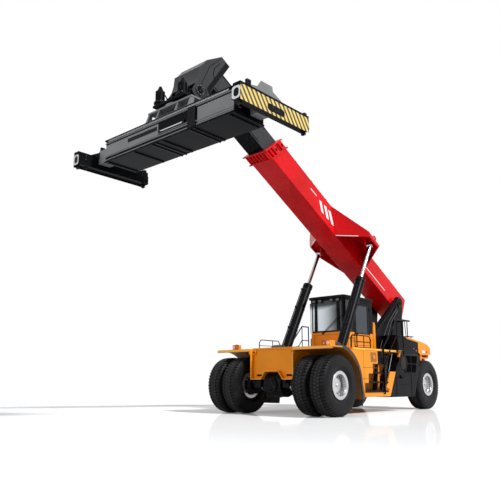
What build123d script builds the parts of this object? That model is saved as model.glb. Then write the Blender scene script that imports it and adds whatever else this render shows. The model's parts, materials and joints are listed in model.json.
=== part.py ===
from build123d import *
import math
import os

# Reach stacker. Millimetres, +X forwards, +Y to the machine's left, +Z up.
# Shapes are drawn from the front axle's line on the ground; keep() moves them to the reference point,
# which is on the ground, half-way along the machine.

# ---- driving dimensions -------------------------------------------------------------------------
WHEELBASE = 6020
REAR_OVERHANG = 1130          # steer axle to the back of the hood
SLEW_X = 4050                 # slew axis ahead of the front axle
END_BEAM_X = 3850             # end beams' middle
END_BEAM_LENGTH = 2440        # spreader's end beams, along X
TYRE_R = 807.5
TYRE_WIDTH = 498
TYRE_BEAD_R = 318
FRONT_OUTER_FACE = 2100       # outer tyre's outer side, from the middle
DUAL_PITCH = 585              # between the middles of twin tyres
REAR_TYRE_Y = 1380            # steered tyre's middle
AXLE_Z = TYRE_R

BOOM_ANGLE = 29.0             # parked boom, above level
LUFF_PIN = (-6250, 3700)      # boom's pivot, X and Z
LUFF_PIN_R = 90
BOOM_ABOVE_PIN = 156          # boom's middle line above its pivot
BOOM_WIDTH = 790
BOOM_HEIGHT = 762
BOOM_WALL = 22
BOOM_TAIL = -660              # boom stations run along the boom from its pivot
BOOM_FRONT = 7800             # collar's back, at the boom's foot
FRONT_SLANT = 22.0            # boom's mouth leans back by this much
INNER_WIDTH = 600
INNER_HEIGHT = 660
INNER_WALL = 20
INNER_TAIL = 760
INNER_TIP = 10900

HANG_PIN = (3750, 8280)       # spreader's hanging pin, X and Z
END_BEAM_Y = 3030
END_BEAM_Z = (6745, 7120)
END_BEAM_WIDTH = 230

DECK_Z = 1850
DECK_T = 60
FRAME_LOW = 960
FRAME_HIGH = 1740
FRAME_HALF = 780              # half width between the drive wheels
SPINE_HALF = 440              # half width of the rear frame, between the steered wheels
FRONT_FACE = 350
BODY_SIDE_Y = 1800
BODY_LOW = 470
SIDE_IN = 1250                # inner face of the side panels and tanks

LIFT_Y = 1030
LIFT_BASE = (-1270, 1250)     # barrel's base pin, X and Z
LIFT_EYE = (-3571, 5311)      # rod's eye on the boom, X and Z
LIFT_EYE_R = 85
BARREL_R = 150
BARREL_BORE = 112
BARREL_LENGTH = 3270
ROD_R = 62
ROD_LENGTH = 3200

KINGPIN_Y = 1040
CAB_X = (-4200, -2450)
CAB_HALF = 660
CAB_FLOOR = 1910
CAB_TOP = 3600
SILL_Z = 2440
CAB_WALL = 40
GLASS_T = 8

RUN = 5                       # running clearance between moving pieces
SEAT = 0.3                    # gap between curved faces that seat on each other
FIT = 0.5                     # running fit at pins, bearings and slides

REAR_END = WHEELBASE + REAR_OVERHANG
FRONT_END = END_BEAM_X + END_BEAM_LENGTH / 2
FRONT_AXLE_X = (REAR_END - FRONT_END) / 2
REAR_AXLE = -WHEELBASE
SIDES = (("left", 1), ("right", -1))

os.makedirs("parts", exist_ok=True)


# ---- shapes ------------------------------------------------------------------------------------
def box(x, y, z):
    """A block between pairs of X, Y and Z values, in any order."""
    (x0, x1), (y0, y1), (z0, z1) = sorted(x), sorted(y), sorted(z)
    return Pos((x0 + x1) / 2, (y0 + y1) / 2, (z0 + z1) / 2) * Box(x1 - x0, y1 - y0, z1 - z0)


def side_plate(points, y):
    """A plate cut to (X, Z) points, between two Y values."""
    y0, y1 = sorted(y)
    plane = Plane(origin=(0, y1, 0), x_dir=(1, 0, 0), z_dir=(0, -1, 0))
    return extrude(plane * Polygon(*points, align=None), amount=y1 - y0, dir=(0, -1, 0))


def cross_plate(points, x):
    """A plate cut to (Y, Z) points, between two X values."""
    x0, x1 = sorted(x)
    plane = Plane(origin=(x0, 0, 0), x_dir=(0, 1, 0), z_dir=(1, 0, 0))
    return extrude(plane * Polygon(*points, align=None), amount=x1 - x0, dir=(1, 0, 0))


def flat_plate(points, z):
    """A plate cut to (X, Y) points, between two Z values."""
    z0, z1 = sorted(z)
    return extrude(Pos(0, 0, z0) * Polygon(*points, align=None), amount=z1 - z0, dir=(0, 0, 1))


def along_y(x, z, y, r):
    """A round bar along Y at (x, z)."""
    y0, y1 = sorted(y)
    return Pos(x, (y0 + y1) / 2, z) * Rot(90, 0, 0) * Cylinder(r, y1 - y0)


def along_x(y, z, x, r):
    """A round bar along X at (y, z)."""
    x0, x1 = sorted(x)
    return Pos((x0 + x1) / 2, y, z) * Rot(0, 90, 0) * Cylinder(r, x1 - x0)


def upright(x, y, z, r):
    """A round bar along Z at (x, y)."""
    z0, z1 = sorted(z)
    return Pos(x, y, (z0 + z1) / 2) * Cylinder(r, z1 - z0)


def rail(points, r):
    """A round tube through points, with a ball at each bend."""
    shape = None
    for a, b in zip(points, points[1:]):
        a, b = Vector(a), Vector(b)
        run = Plane(origin=(a + b) / 2, z_dir=b - a) * Cylinder(r, (b - a).length)
        shape = run if shape is None else shape + run
    for p in points[1:-1]:
        shape = shape + Pos(*p) * Sphere(r)
    return shape


def turned(profile, y, side=1):
    """A solid turned about the Y axis line at the axle's height: (radius, y) points, y outwards."""
    face = Polygon(*[(r, side * v) for r, v in profile], align=None)
    return Pos(0, y, AXLE_Z) * revolve(face, axis=Axis.Y, revolution_arc=360)


def mirrored(shape):
    """The same piece on the machine's other side."""
    return mirror(shape, about=Plane.XZ)


def both(shape):
    """A piece and its mirror image."""
    return [shape, mirrored(shape)]


def in_boom(shape):
    """Place a shape drawn in boom stations: X along the boom from its pivot, Z above the pivot."""
    return Pos(LUFF_PIN[0], 0, LUFF_PIN[1]) * Rot(0, -BOOM_ANGLE, 0) * shape


def to_boom(x, z):
    """Boom station and height of a point given by X and Z."""
    a = math.radians(BOOM_ANGLE)
    dx, dz = x - LUFF_PIN[0], z - LUFF_PIN[1]
    return dx * math.cos(a) + dz * math.sin(a), dz * math.cos(a) - dx * math.sin(a)


def keep(name, *shapes):
    """Write a node's solids, moved to the reference point."""
    solids = [s for shape in shapes for s in shape.solids()]
    placed = [Pos(FRONT_AXLE_X, 0, 0) * s for s in solids]
    export_step(placed[0] if len(placed) == 1 else Compound(children=placed), f"parts/{name}.step")


# ---- wheels ------------------------------------------------------------------------------------
def tyre_shape(y):
    """A tyre round the axle line, its middle at y."""
    h = TYRE_WIDTH / 2
    with BuildSketch() as s:
        with BuildLine():
            Polyline((TYRE_BEAD_R, h - 70), (TYRE_BEAD_R + 70, h - 62))
            ThreePointArc((TYRE_BEAD_R + 70, h - 62), (TYRE_R - 260, h), (TYRE_R - 75, h - 22))
            ThreePointArc((TYRE_R - 75, h - 22), (TYRE_R - 18, h - 40), (TYRE_R - 6, h - 84))
            Polyline((TYRE_R - 6, h - 84), (TYRE_R, 0), (TYRE_R - 6, 84 - h))
            ThreePointArc((TYRE_R - 6, 84 - h), (TYRE_R - 18, 40 - h), (TYRE_R - 75, 22 - h))
            ThreePointArc((TYRE_R - 75, 22 - h), (TYRE_R - 260, -h), (TYRE_BEAD_R + 70, 62 - h))
            Polyline((TYRE_BEAD_R + 70, 62 - h), (TYRE_BEAD_R, 70 - h), (TYRE_BEAD_R, h - 70))
        make_face()
    return Pos(0, y, AXLE_Z) * revolve(s.sketch, axis=Axis.Y, revolution_arc=360)


RIM_R = TYRE_BEAD_R - SEAT
FLANGE_R = 372
LIP_T = 25
BEAD_SIDE = TYRE_WIDTH / 2 - 70
LIP_LEAN = (FLANGE_R - TYRE_BEAD_R) * 8 / 70     # the tyre's foot leans out by 8 in 70


def rim_profile(h):
    """Half section of a rim: a tube with a lip at each side, h either side of its middle."""
    lip, foot = h - LIP_T, h - LIP_T - LIP_LEAN
    return [(RIM_R - 30, -h), (FLANGE_R, -h), (FLANGE_R, -lip), (RIM_R, -foot), (RIM_R, foot),
            (FLANGE_R, lip), (FLANGE_R, h), (RIM_R - 30, h)]


HUB_BORE = 122
RIM_HALF = BEAD_SIDE + LIP_LEAN + SEAT + LIP_T
OUTER_TYRE_Y = FRONT_OUTER_FACE - TYRE_WIDTH / 2
INNER_TYRE_Y = OUTER_TYRE_Y - DUAL_PITCH


def ring(r_in, r_out, y0, y1):
    """Half section of a plain ring."""
    return [(r_in, y0), (r_out, y0), (r_out, y1), (r_in, y1)]


def front_rims():
    """Twin rims, their disc, the spacer between them and the hub's cap."""
    shape = turned(rim_profile(RIM_HALF), OUTER_TYRE_Y) + turned(rim_profile(RIM_HALF), INNER_TYRE_Y)
    shape += turned(ring(RIM_R - 60, RIM_R - 25, INNER_TYRE_Y, OUTER_TYRE_Y), 0)
    shape += turned(ring(HUB_BORE, RIM_R - 20, -30, 0), OUTER_TYRE_Y + 20)
    shape += turned(ring(HUB_BORE, 215, -300, -20), OUTER_TYRE_Y + 20)
    shape += turned([(0, 0), (225, 0), (225, 40), (195, 70), (120, 85), (0, 85)], OUTER_TYRE_Y + 20)
    return shape


def rear_rim():
    """Steered wheel's rim, its dished disc and hub cap."""
    shape = turned(rim_profile(RIM_HALF), REAR_TYRE_Y)
    shape += turned([(HUB_BORE, 30), (RIM_R - 20, 90), (RIM_R - 20, 120), (HUB_BORE, 60)], REAR_TYRE_Y)
    shape += turned([(0, 40), (165, 40), (165, 85), (120, 115), (0, 115)], REAR_TYRE_Y)
    shape += turned(ring(HUB_BORE, 170, -60, 60), REAR_TYRE_Y)
    return shape


front_tyres = [tyre_shape(INNER_TYRE_Y), tyre_shape(OUTER_TYRE_Y)]
rims = front_rims()
rear_tyre = Pos(REAR_AXLE, 0, 0) * tyre_shape(REAR_TYRE_Y)
rear_wheel_rim = Pos(REAR_AXLE, 0, 0) * rear_rim()
for side, s in SIDES:
    flip = (lambda q: q) if s > 0 else mirrored
    keep(f"front_tyres_{side}", *[flip(t) for t in front_tyres])
    keep(f"front_rims_{side}", flip(rims))
    keep(f"rear_tyre_{side}", flip(rear_tyre))
    keep(f"rear_rim_{side}", flip(rear_wheel_rim))

# ---- axles and steering ------------------------------------------------------------------------
SPINDLE_R = HUB_BORE - FIT
SPINDLE_END = OUTER_TYRE_Y + 20 - RUN
drive_axle = along_y(0, AXLE_Z, (-SPINDLE_END, SPINDLE_END), SPINDLE_R)
drive_axle += along_y(0, AXLE_Z, (-960, 960), 148)
drive_axle += along_y(0, AXLE_Z, (-300, 300), 330)
drive_axle += along_x(0, AXLE_Z, (-420, 380), 200)
for s in (1, -1):
    drive_axle += box((-210, 210), (s * 640, s * 760), (AXLE_Z, FRAME_LOW))
    drive_axle += along_y(0, AXLE_Z, (s * 870, s * 1010), 250)
keep("drive_axle", drive_axle)

BEAM_TOP = AXLE_Z + 192.5
BEAM_LOW = AXLE_Z - 167.5
EAR_R = 85
EAR_Z = ((AXLE_Z - 197.5, AXLE_Z - 117.5), (AXLE_Z + 117.5, AXLE_Z + 197.5))
steer_axle = box((REAR_AXLE - 210, REAR_AXLE + 210), (-640, 640), (BEAM_LOW, BEAM_TOP))
for s in (1, -1):
    for z in EAR_Z:
        steer_axle += box((REAR_AXLE - EAR_R, REAR_AXLE + EAR_R), (s * 600, s * KINGPIN_Y), z)
        steer_axle += upright(REAR_AXLE, s * KINGPIN_Y, z, EAR_R)
STEER_ROD_X = REAR_AXLE - 300
ROD_HALF = 640
STEER_ROD_R = 38
steer_axle += box((REAR_AXLE - 200, STEER_ROD_X - 95), (-330, 330), (AXLE_Z - 95, AXLE_Z + 95))
steer_axle -= along_y(STEER_ROD_X, AXLE_Z, (-ROD_HALF - 400, ROD_HALF + 400), STEER_ROD_R + FIT)
keep("steer_axle", steer_axle)
steer_rod = along_y(STEER_ROD_X, AXLE_Z, (-ROD_HALF, ROD_HALF), STEER_ROD_R)
for s in (1, -1):
    steer_rod += along_y(STEER_ROD_X, AXLE_Z, (s * (ROD_HALF - 80), s * ROD_HALF), 50)
    steer_rod += box((STEER_ROD_X - 22, STEER_ROD_X + 22), (s * (ROD_HALF - 20), s * (KINGPIN_Y - 150)),
                     (AXLE_Z - 25, AXLE_Z + 25))
keep("steer_rod", steer_rod)
for side, s in SIDES:
    knuckle = upright(REAR_AXLE, s * KINGPIN_Y, (EAR_Z[0][1] + FIT, EAR_Z[1][0] - FIT), 105)
    knuckle += along_y(REAR_AXLE, AXLE_Z, (s * KINGPIN_Y, s * (KINGPIN_Y + 110)), 105)
    knuckle += along_y(REAR_AXLE, AXLE_Z, (s * (KINGPIN_Y + 100), s * (REAR_TYRE_Y + 40 - RUN)), SPINDLE_R)
    knuckle += along_y(REAR_AXLE, AXLE_Z, (s * (KINGPIN_Y + 100), s * (REAR_TYRE_Y - 130)), 170)
    knuckle += box((REAR_AXLE - 300, REAR_AXLE), (s * (KINGPIN_Y - 60), s * (KINGPIN_Y + 60)),
                   (AXLE_Z - 60, AXLE_Z + 60))
    keep(f"steer_knuckle_{side}", knuckle)

WEIGHT_HALF = 540             # counterweight, clear of the turned wheels
PLATE_Z = (FRAME_HIGH - 40, FRAME_HIGH)
SPINE_BACK = REAR_AXLE - 880   # rear end of the frame's spine

# ---- frame -------------------------------------------------------------------------------------
NOTCH = [(-390, FRAME_LOW), (-240, 1180), (240, 1180), (390, FRAME_LOW)]
LIP = 22                      # folded edge round the front plate
RECESS_DEEP = 120             # front plate behind its folded edge
FRONT_BACK = FRONT_FACE - RECESS_DEEP - 30
RECESS_LOW = FRAME_LOW + LIP
RECESS_HIGH = DECK_Z - DECK_T + 10
RECESS = [(-FRAME_HALF + LIP, RECESS_LOW), (-402, RECESS_LOW), (-251, 1180 + LIP), (251, 1180 + LIP),
          (402, RECESS_LOW), (FRAME_HALF - LIP, RECESS_LOW), (FRAME_HALF - LIP, RECESS_HIGH),
          (-FRAME_HALF + LIP, RECESS_HIGH)]
frame = box((FRONT_BACK, FRONT_FACE), (-FRAME_HALF, FRAME_HALF), (FRAME_LOW, DECK_Z - DECK_T))
frame -= cross_plate(NOTCH, (0, FRONT_FACE + 50))
frame -= cross_plate(RECESS, (FRONT_FACE - RECESS_DEEP, FRONT_FACE + 50))
for s in (1, -1):
    frame -= box((0, FRONT_FACE + 50), (s * 440, s * 640), (1050, 1105))
    frame += box((FRONT_BACK, -1950), (s * (FRAME_HALF - 120), s * FRAME_HALF), (FRAME_LOW, FRAME_HIGH))
frame += box((-1950, -1750), (-FRAME_HALF, FRAME_HALF), (FRAME_LOW, FRAME_HIGH))
frame += box((-560, -460), (-FRAME_HALF + 60, FRAME_HALF - 60), (1250, FRAME_HIGH))
frame += box((SPINE_BACK, -1850), (-SPINE_HALF, SPINE_HALF), (1100, FRAME_HIGH))
frame -= box((-4200, -2050), (-SPINE_HALF + 60, SPINE_HALF - 60), (1160, FRAME_HIGH + 20))
LUG_IN = LIFT_Y - 130
LUG_OUT = LIFT_Y + 130
LUG_T = 45
for s in (1, -1):
    frame += box((-1560, -1110), (s * (FRAME_HALF - 40), s * (LUG_OUT + LUG_T)), (FRAME_LOW, 1040))
    for y in (LUG_IN, LUG_OUT + LUG_T):
        lug = box((LIFT_BASE[0] - 170, LIFT_BASE[0] + 160), (s * (y - LUG_T), s * y), (1000, LIFT_BASE[1]))
        lug += along_y(*LIFT_BASE, (s * (y - LUG_T), s * y), 160)
        frame += lug
    frame += along_y(*LIFT_BASE, (s * (LUG_IN - LUG_T - 30), s * (LUG_OUT + LUG_T + 30)), 70)
    # carriers under the deck, the steps and the tanks
    for x in (-2150, -3350, -4550):
        frame += box((x - 60, x + 60), (s * (SPINE_HALF - 20), s * SIDE_IN), (1560, 1700))
frame += box((-REAR_END + 80, -4720), (-1150, 1150), PLATE_Z)
# saddle for the steer axle
frame += box((REAR_AXLE - 260, REAR_AXLE + 260), (-300, 300), (BEAM_TOP, 1120))
keep("chassis_frame", frame)

# ---- fenders, deck, sides ----------------------------------------------------------------------
FENDER_Y = (FRAME_HALF, 2090)
FENDER_T = 45
FENDER_TOP = DECK_Z - 20
ARCH_R = FENDER_TOP - AXLE_Z + 7.5   # the arch's crown meets the fender's flat top
ARCH_A = math.radians(20)


def fender():
    """Flat top over the twin tyres, curved down behind them."""
    top = FENDER_TOP
    start = (-math.sqrt(ARCH_R ** 2 - (top - AXLE_Z) ** 2), top)
    end = (-ARCH_R * math.cos(ARCH_A) - 130, BODY_LOW - 40)
    mid_a = math.radians(155)
    bend = (ARCH_R * math.cos(mid_a), AXLE_Z + ARCH_R * math.sin(mid_a))
    low_a = math.radians(178)
    low = (ARCH_R * math.cos(low_a) - 40, AXLE_Z + ARCH_R * math.sin(low_a))
    with BuildSketch() as s:
        with BuildLine():
            Polyline((FRONT_FACE + 30, top - 80), (FRONT_FACE + 30, top), start)
            ThreePointArc(start, bend, low)
            Polyline(low, end, (end[0] + FENDER_T, end[1]), (low[0] + FENDER_T, low[1]))
            ThreePointArc((low[0] + FENDER_T, low[1]), (bend[0] + FENDER_T * 0.8, bend[1] - FENDER_T * 0.6),
                          (start[0] + 25, top - FENDER_T))
            Polyline((start[0] + 25, top - FENDER_T), (FRONT_FACE + 30 - FENDER_T, top - FENDER_T),
                     (FRONT_FACE + 30 - FENDER_T, top - 80), (FRONT_FACE + 30, top - 80))
        make_face()
    plane = Plane(origin=(0, FENDER_Y[1], 0), x_dir=(1, 0, 0), z_dir=(0, -1, 0))
    return extrude(plane * s.sketch, amount=FENDER_Y[1] - FENDER_Y[0], dir=(0, -1, 0))


guard = fender()
keep("fenders", *both(guard))

deck = box((-4000, -640), (-BODY_SIDE_Y, BODY_SIDE_Y), (DECK_Z - DECK_T, DECK_Z))
deck += box((-640, FRONT_FACE - 100), (-FRAME_HALF + SEAT, FRAME_HALF - SEAT), (DECK_Z - DECK_T, DECK_Z))
for s in (1, -1):
    deck -= box((-640, -1050), (s * FRAME_HALF, s * 2000), (DECK_Z - 200, DECK_Z + 50))
    deck -= box((-1330, -2080), (s * (LIFT_Y - 215), s * (LIFT_Y + 215)), (DECK_Z - 200, DECK_Z + 50))
keep("deck", deck)

STEP_Z = (600, 860, 1130, 1410)
STEP_FRONT = (-1660, -1870, -2120, -2420)
STEP_BACK = -2960
side = box((-640, -1480), (SIDE_IN, BODY_SIDE_Y), (BODY_LOW, DECK_Z - DECK_T))
side -= along_y(0, AXLE_Z, (SIDE_IN - 10, BODY_SIDE_Y + 10), ARCH_R + 50)
side -= box((0, -1118), (SIDE_IN - 10, BODY_SIDE_Y + 10), (BODY_LOW - 10, AXLE_Z + 60))
side += box((-1460, -3050), (SIDE_IN, BODY_SIDE_Y - 330), (BODY_LOW, DECK_Z - DECK_T))
side += box((-1460, -1660), (SIDE_IN, BODY_SIDE_Y), (BODY_LOW, DECK_Z - DECK_T))
side += box((-1460, -3050), (SIDE_IN, BODY_SIDE_Y), (BODY_LOW, STEP_Z[0]))
for z0, z1, x in zip(STEP_Z, STEP_Z[1:] + (DECK_Z - DECK_T,), STEP_FRONT):
    side += box((-1600, x), (1300, BODY_SIDE_Y), (z0, z1))
keep("body_sides", *both(side))

treads = []
for z, x in zip(STEP_Z, STEP_FRONT):
    tread = box((x - RUN, STEP_BACK), (BODY_SIDE_Y - 330, BODY_SIDE_Y + 20), (z, z + 45))
    treads += both(tread)
keep("step_treads", *treads)

TANK_OUT = 1740
tank = side_plate([(-3160, 440), (-4780, 440), (-5060, 1120), (-5260, 1740), (-3960, 1740), (-3560, 1200)],
                  (SIDE_IN, TANK_OUT))
keep("side_tanks", *both(tank))

# ---- mast, hood, counterweight, engine ---------------------------------------------------------
MAST_IN = BOOM_WIDTH / 2 + 55
MAST_OUT = MAST_IN + 110
mast_side = side_plate([(-4300, FRAME_HIGH), (-4380, 2560), (-6050, 3800), (-6180, 3900), (-6400, 3880),
                        (-6480, 3700), (-6400, 3100), (-6360, FRAME_HIGH)], (MAST_IN, MAST_OUT))
mast_side += along_y(*LUFF_PIN, (MAST_IN, MAST_OUT + 30), 190)
mast = mast_side + mirrored(mast_side)
mast += box((-6380, -6280), (-MAST_IN - 10, MAST_IN + 10), (FRAME_HIGH, 2750))
mast += box((-4560, -4460), (-MAST_IN - 10, MAST_IN + 10), (FRAME_HIGH, 2300))
mast += box((-6380, -4300), (-MAST_OUT, MAST_OUT), (FRAME_HIGH, FRAME_HIGH + 30))
mast -= along_y(*LUFF_PIN, (-MAST_OUT - 50, MAST_OUT + 50), LUFF_PIN_R + FIT)
keep("boom_mast", mast)

engine = box((-6150, -4700), (-MAST_IN + 20, MAST_IN - 20), (FRAME_HIGH + 30, 2280))
keep("engine_block", engine)

HOOD_HALF = 1210
HOOD_FRONT = -4850
HOOD_T = 55
HOOD_TOP = [(HOOD_FRONT, 2430), (-5300, 2400), (-6550, 2260), (-6950, 2190), (-REAR_END, 2060)]
NOSE_X = -6230


def hood_side(inner, outer):
    """Side box under the hood's top, between two Y values."""
    top = [(x, z - HOOD_T) for x, z in HOOD_TOP[:2]] + [(NOSE_X, 2235), (NOSE_X, FRAME_HIGH)]
    return side_plate([(HOOD_FRONT, FRAME_HIGH)] + top, (inner, outer))


nose = [(NOSE_X, 2240), (-6550, 2205)] + HOOD_TOP[3:] + [(-REAR_END, 1850), (-7050, 1830), (-6420, 1810),
                                                         (NOSE_X, 1830)]
top_line = HOOD_TOP + [(-REAR_END, 2000), (-6550, 2205), (-5300, 2345), (HOOD_FRONT, 2375)]
hood = side_plate(top_line, (MAST_OUT + RUN, HOOD_HALF)) + side_plate(nose, (MAST_OUT - 100, HOOD_HALF))
hood = hood + mirrored(hood) + side_plate(nose, (-MAST_OUT, MAST_OUT))
hood -= box((-6500, 0), (-MAST_OUT, MAST_OUT), (1700, 2500))
for s in (1, -1):
    hood += box((-7000, -6500), (s * 700, s * 900), (FRAME_HIGH, 1850))
keep("hood", hood)
hood_black = hood_side(MAST_OUT + RUN, HOOD_HALF - 12)
keep("hood_sides", *both(hood_black))

weight = box((-REAR_END + 60, REAR_AXLE - 480), (-WEIGHT_HALF, WEIGHT_HALF), (700, PLATE_Z[0]))
weight += box((-REAR_END + 5, -REAR_END + 75), (-1000, 1000), (760, PLATE_Z[0]))
weight -= box((REAR_AXLE - 480, SPINE_BACK - RUN), (-SPINE_HALF - SEAT, SPINE_HALF + SEAT),
              (1090, FRAME_HIGH))
keep("counterweight", weight)

# ---- cab ---------------------------------------------------------------------------------------
cx0, cx1 = CAB_X
DOOR_X = (-3960, -3020)
DOOR_Z = (CAB_FLOOR + 60, 3420)
HINGE_R = 12


def rounded(x, y, z, r):
    """A block with its upright edges rounded."""
    return fillet(box(x, y, z).edges().filter_by(Axis.Z), r)


CORNER_R = 90
shell = rounded((cx0, cx1), (-CAB_HALF, CAB_HALF), (CAB_FLOOR, SILL_Z), CORNER_R)
shell -= rounded((cx0 + CAB_WALL, cx1 - CAB_WALL), (-CAB_HALF + CAB_WALL, CAB_HALF - CAB_WALL),
                 (CAB_FLOOR + CAB_WALL, SILL_Z + 10), CORNER_R - CAB_WALL)
shell -= box((DOOR_X[0] - RUN, DOOR_X[1] + RUN), (CAB_HALF - CAB_WALL - 10, CAB_HALF + 10),
             (DOOR_Z[0] - RUN, SILL_Z + 10))
for x in (cx0 + 200, cx1 - 200):
    shell += box((x - 60, x + 60), (-CAB_HALF + 60, CAB_HALF - 60), (DECK_Z, CAB_FLOOR))
keep("cab_shell", shell)

PILLAR = 90
upper = rounded((cx0, cx1), (-CAB_HALF, CAB_HALF), (SILL_Z, CAB_TOP), CORNER_R)
upper -= rounded((cx0 + CAB_WALL, cx1 - CAB_WALL), (-CAB_HALF + CAB_WALL, CAB_HALF - CAB_WALL),
                 (SILL_Z - 10, CAB_TOP - 70), CORNER_R - CAB_WALL)
upper += rounded((cx0 - 30, cx1 + 60), (-CAB_HALF - 30, CAB_HALF + 30), (CAB_TOP - 90, CAB_TOP - 15),
                 CORNER_R)
WINDOW_Z = (SILL_Z + 40, CAB_TOP - 150)
openings = [
    box((cx1 - 100, cx1 + 10), (-CAB_HALF + PILLAR, CAB_HALF - PILLAR), WINDOW_Z),
    box((cx0 - 10, cx0 + 100), (-CAB_HALF + PILLAR, CAB_HALF - PILLAR), WINDOW_Z),
    box((cx0 + PILLAR, cx1 - PILLAR), (-CAB_HALF - 10, -CAB_HALF + 100), WINDOW_Z),
    box((DOOR_X[1] + PILLAR, cx1 - PILLAR), (CAB_HALF - 100, CAB_HALF + 10), WINDOW_Z),
    box((DOOR_X[0] - RUN, DOOR_X[1] + RUN), (CAB_HALF - 100, CAB_HALF + 10), (SILL_Z - 10, DOOR_Z[1] + RUN)),
]
for o in openings:
    upper -= o
keep("cab_frame", upper)

g0, g1 = WINDOW_Z[0] + SEAT, WINDOW_Z[1] - SEAT
panes = [
    box((cx1 - 30, cx1 - 30 + GLASS_T), (-CAB_HALF + PILLAR + SEAT, CAB_HALF - PILLAR - SEAT), (g0, g1)),
    box((cx0 + 22, cx0 + 22 + GLASS_T), (-CAB_HALF + PILLAR + SEAT, CAB_HALF - PILLAR - SEAT), (g0, g1)),
    box((cx0 + PILLAR + SEAT, cx1 - PILLAR - SEAT), (-CAB_HALF + 22, -CAB_HALF + 22 + GLASS_T), (g0, g1)),
    box((DOOR_X[1] + PILLAR + SEAT, cx1 - PILLAR - SEAT), (CAB_HALF - 30, CAB_HALF - 30 + GLASS_T), (g0, g1)),
]
keep("cab_windows", *panes)

door = box(DOOR_X, (CAB_HALF - CAB_WALL, CAB_HALF), DOOR_Z)
door_window = (DOOR_X[0] + PILLAR, DOOR_X[1] - PILLAR), (DOOR_Z[0] + 450, DOOR_Z[1] - PILLAR)
door -= box(door_window[0], (0, CAB_HALF + 10), door_window[1])
for z in (DOOR_Z[0] + 200, DOOR_Z[1] - 250):
    door += box((DOOR_X[0], DOOR_X[0] + 50), (CAB_HALF, CAB_HALF + HINGE_R + FIT), (z, z + 90))
    door += upright(DOOR_X[0] - 3, CAB_HALF + HINGE_R + FIT, (z, z + 90), HINGE_R)
keep("cab_door", door)
keep("cab_door_glass", box((door_window[0][0] + SEAT, door_window[0][1] - SEAT),
                           (CAB_HALF - 25, CAB_HALF - 25 + GLASS_T),
                           (door_window[1][0] + SEAT, door_window[1][1] - SEAT)))

SEAT_X = -3500
seat = box((SEAT_X - 250, SEAT_X + 250), (-250, 250),
           (CAB_FLOOR + CAB_WALL + 380, CAB_FLOOR + CAB_WALL + 500))
seat += box((SEAT_X - 300, SEAT_X - 180), (-240, 240),
            (CAB_FLOOR + CAB_WALL + 380, CAB_FLOOR + CAB_WALL + 1100))
seat += box((SEAT_X - 180, SEAT_X + 180), (-180, 180), (CAB_FLOOR + CAB_WALL, CAB_FLOOR + CAB_WALL + 380))
keep("cab_seat", seat)
WHEEL_C = (-3010, 2680)
console = box((-2840, -2640), (-150, 150), (CAB_FLOOR + CAB_WALL, 2560))
column = rail([(-2740, 0, 2450), (WHEEL_C[0], 0, WHEEL_C[1])], 30)
console += column
rim_turn = Plane(origin=(WHEEL_C[0], 0, WHEEL_C[1]), z_dir=(WHEEL_C[0] + 2740, 0, WHEEL_C[1] - 2450))
console += rim_turn * Torus(185, 17)
console += rim_turn * Box(370, 30, 20)
keep("cab_console", console)

# ---- rails, lamps, mirrors ---------------------------------------------------------------------
RAIL_R = 20
BRANCH_R = 15
RAIL_TOP = 2800
RAIL_MIDDLE = 2320
RAIL_FOOT_Z = STEP_Z[0] - 40
STAIR_RISE = (-2700, -3580)   # X of the stair rail's post and of its upper end
RAIL_BACK = -3960
RAIL_Y = BODY_SIDE_Y + 20 + RUN + RAIL_R
STUB_Z = DECK_Z - DECK_T / 2
RAIL_DROP = STAIR_RISE[0] - STAIR_RISE[1]
rails = []
for s in (1, -1):
    y = s * RAIL_Y
    run = rail([(STAIR_RISE[0], y, RAIL_FOOT_Z - RAIL_R), (STAIR_RISE[0], y, RAIL_TOP - RAIL_DROP),
                (STAIR_RISE[1], y, RAIL_TOP), (RAIL_BACK, y, RAIL_TOP),
                (RAIL_BACK, y, STUB_Z - RAIL_R)], RAIL_R)
    run += rail([(STAIR_RISE[0], y, RAIL_MIDDLE - RAIL_DROP), (STAIR_RISE[1], y, RAIL_MIDDLE),
                 (RAIL_BACK, y, RAIL_MIDDLE)], BRANCH_R)
    run += rail([(STAIR_RISE[1], y, STUB_Z - RAIL_R), (STAIR_RISE[1], y, RAIL_TOP)], BRANCH_R)
    run += along_y(STAIR_RISE[0], RAIL_FOOT_Z, (s * BODY_SIDE_Y, y), BRANCH_R)
    for x in STAIR_RISE:
        run += along_y(x, STUB_Z, (s * BODY_SIDE_Y, y), BRANCH_R - 1)
    run += along_y(RAIL_BACK, STUB_Z, (s * BODY_SIDE_Y, y), BRANCH_R)
    rails.append(run)
keep("handrails", *rails)

brackets = []
for s in (1, -1):
    brackets.append(box((60, -230), (s * 1520, s * 1790), (DECK_Z - 20, DECK_Z + 150)))
keep("front_lamps", *brackets)

mirrors = []
for s in (1, -1):
    stalk = rail([(-3860, s * BODY_SIDE_Y, DECK_Z - 30), (-3860, s * (BODY_SIDE_Y + 90), DECK_Z - 30),
                  (-3860, s * (BODY_SIDE_Y + 90), 1560)], 16)
    glass = Pos(-3860, s * (BODY_SIDE_Y + 90), 1470) * Rot(0, 90, 0) * extrude(Ellipse(225, 110), amount=40)
    mirrors.append(stalk + glass)
keep("mirrors", *mirrors)

# ---- boom --------------------------------------------------------------------------------------
BW, BH = BOOM_WIDTH / 2, BOOM_HEIGHT / 2
LOW, HIGH = BOOM_ABOVE_PIN - BH, BOOM_ABOVE_PIN + BH
slant = math.tan(math.radians(FRONT_SLANT))


def mouth(station, z):
    """Station of the slanted mouth's plane at a height, its bottom at the given station."""
    return station - (z - LOW) * slant


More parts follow.
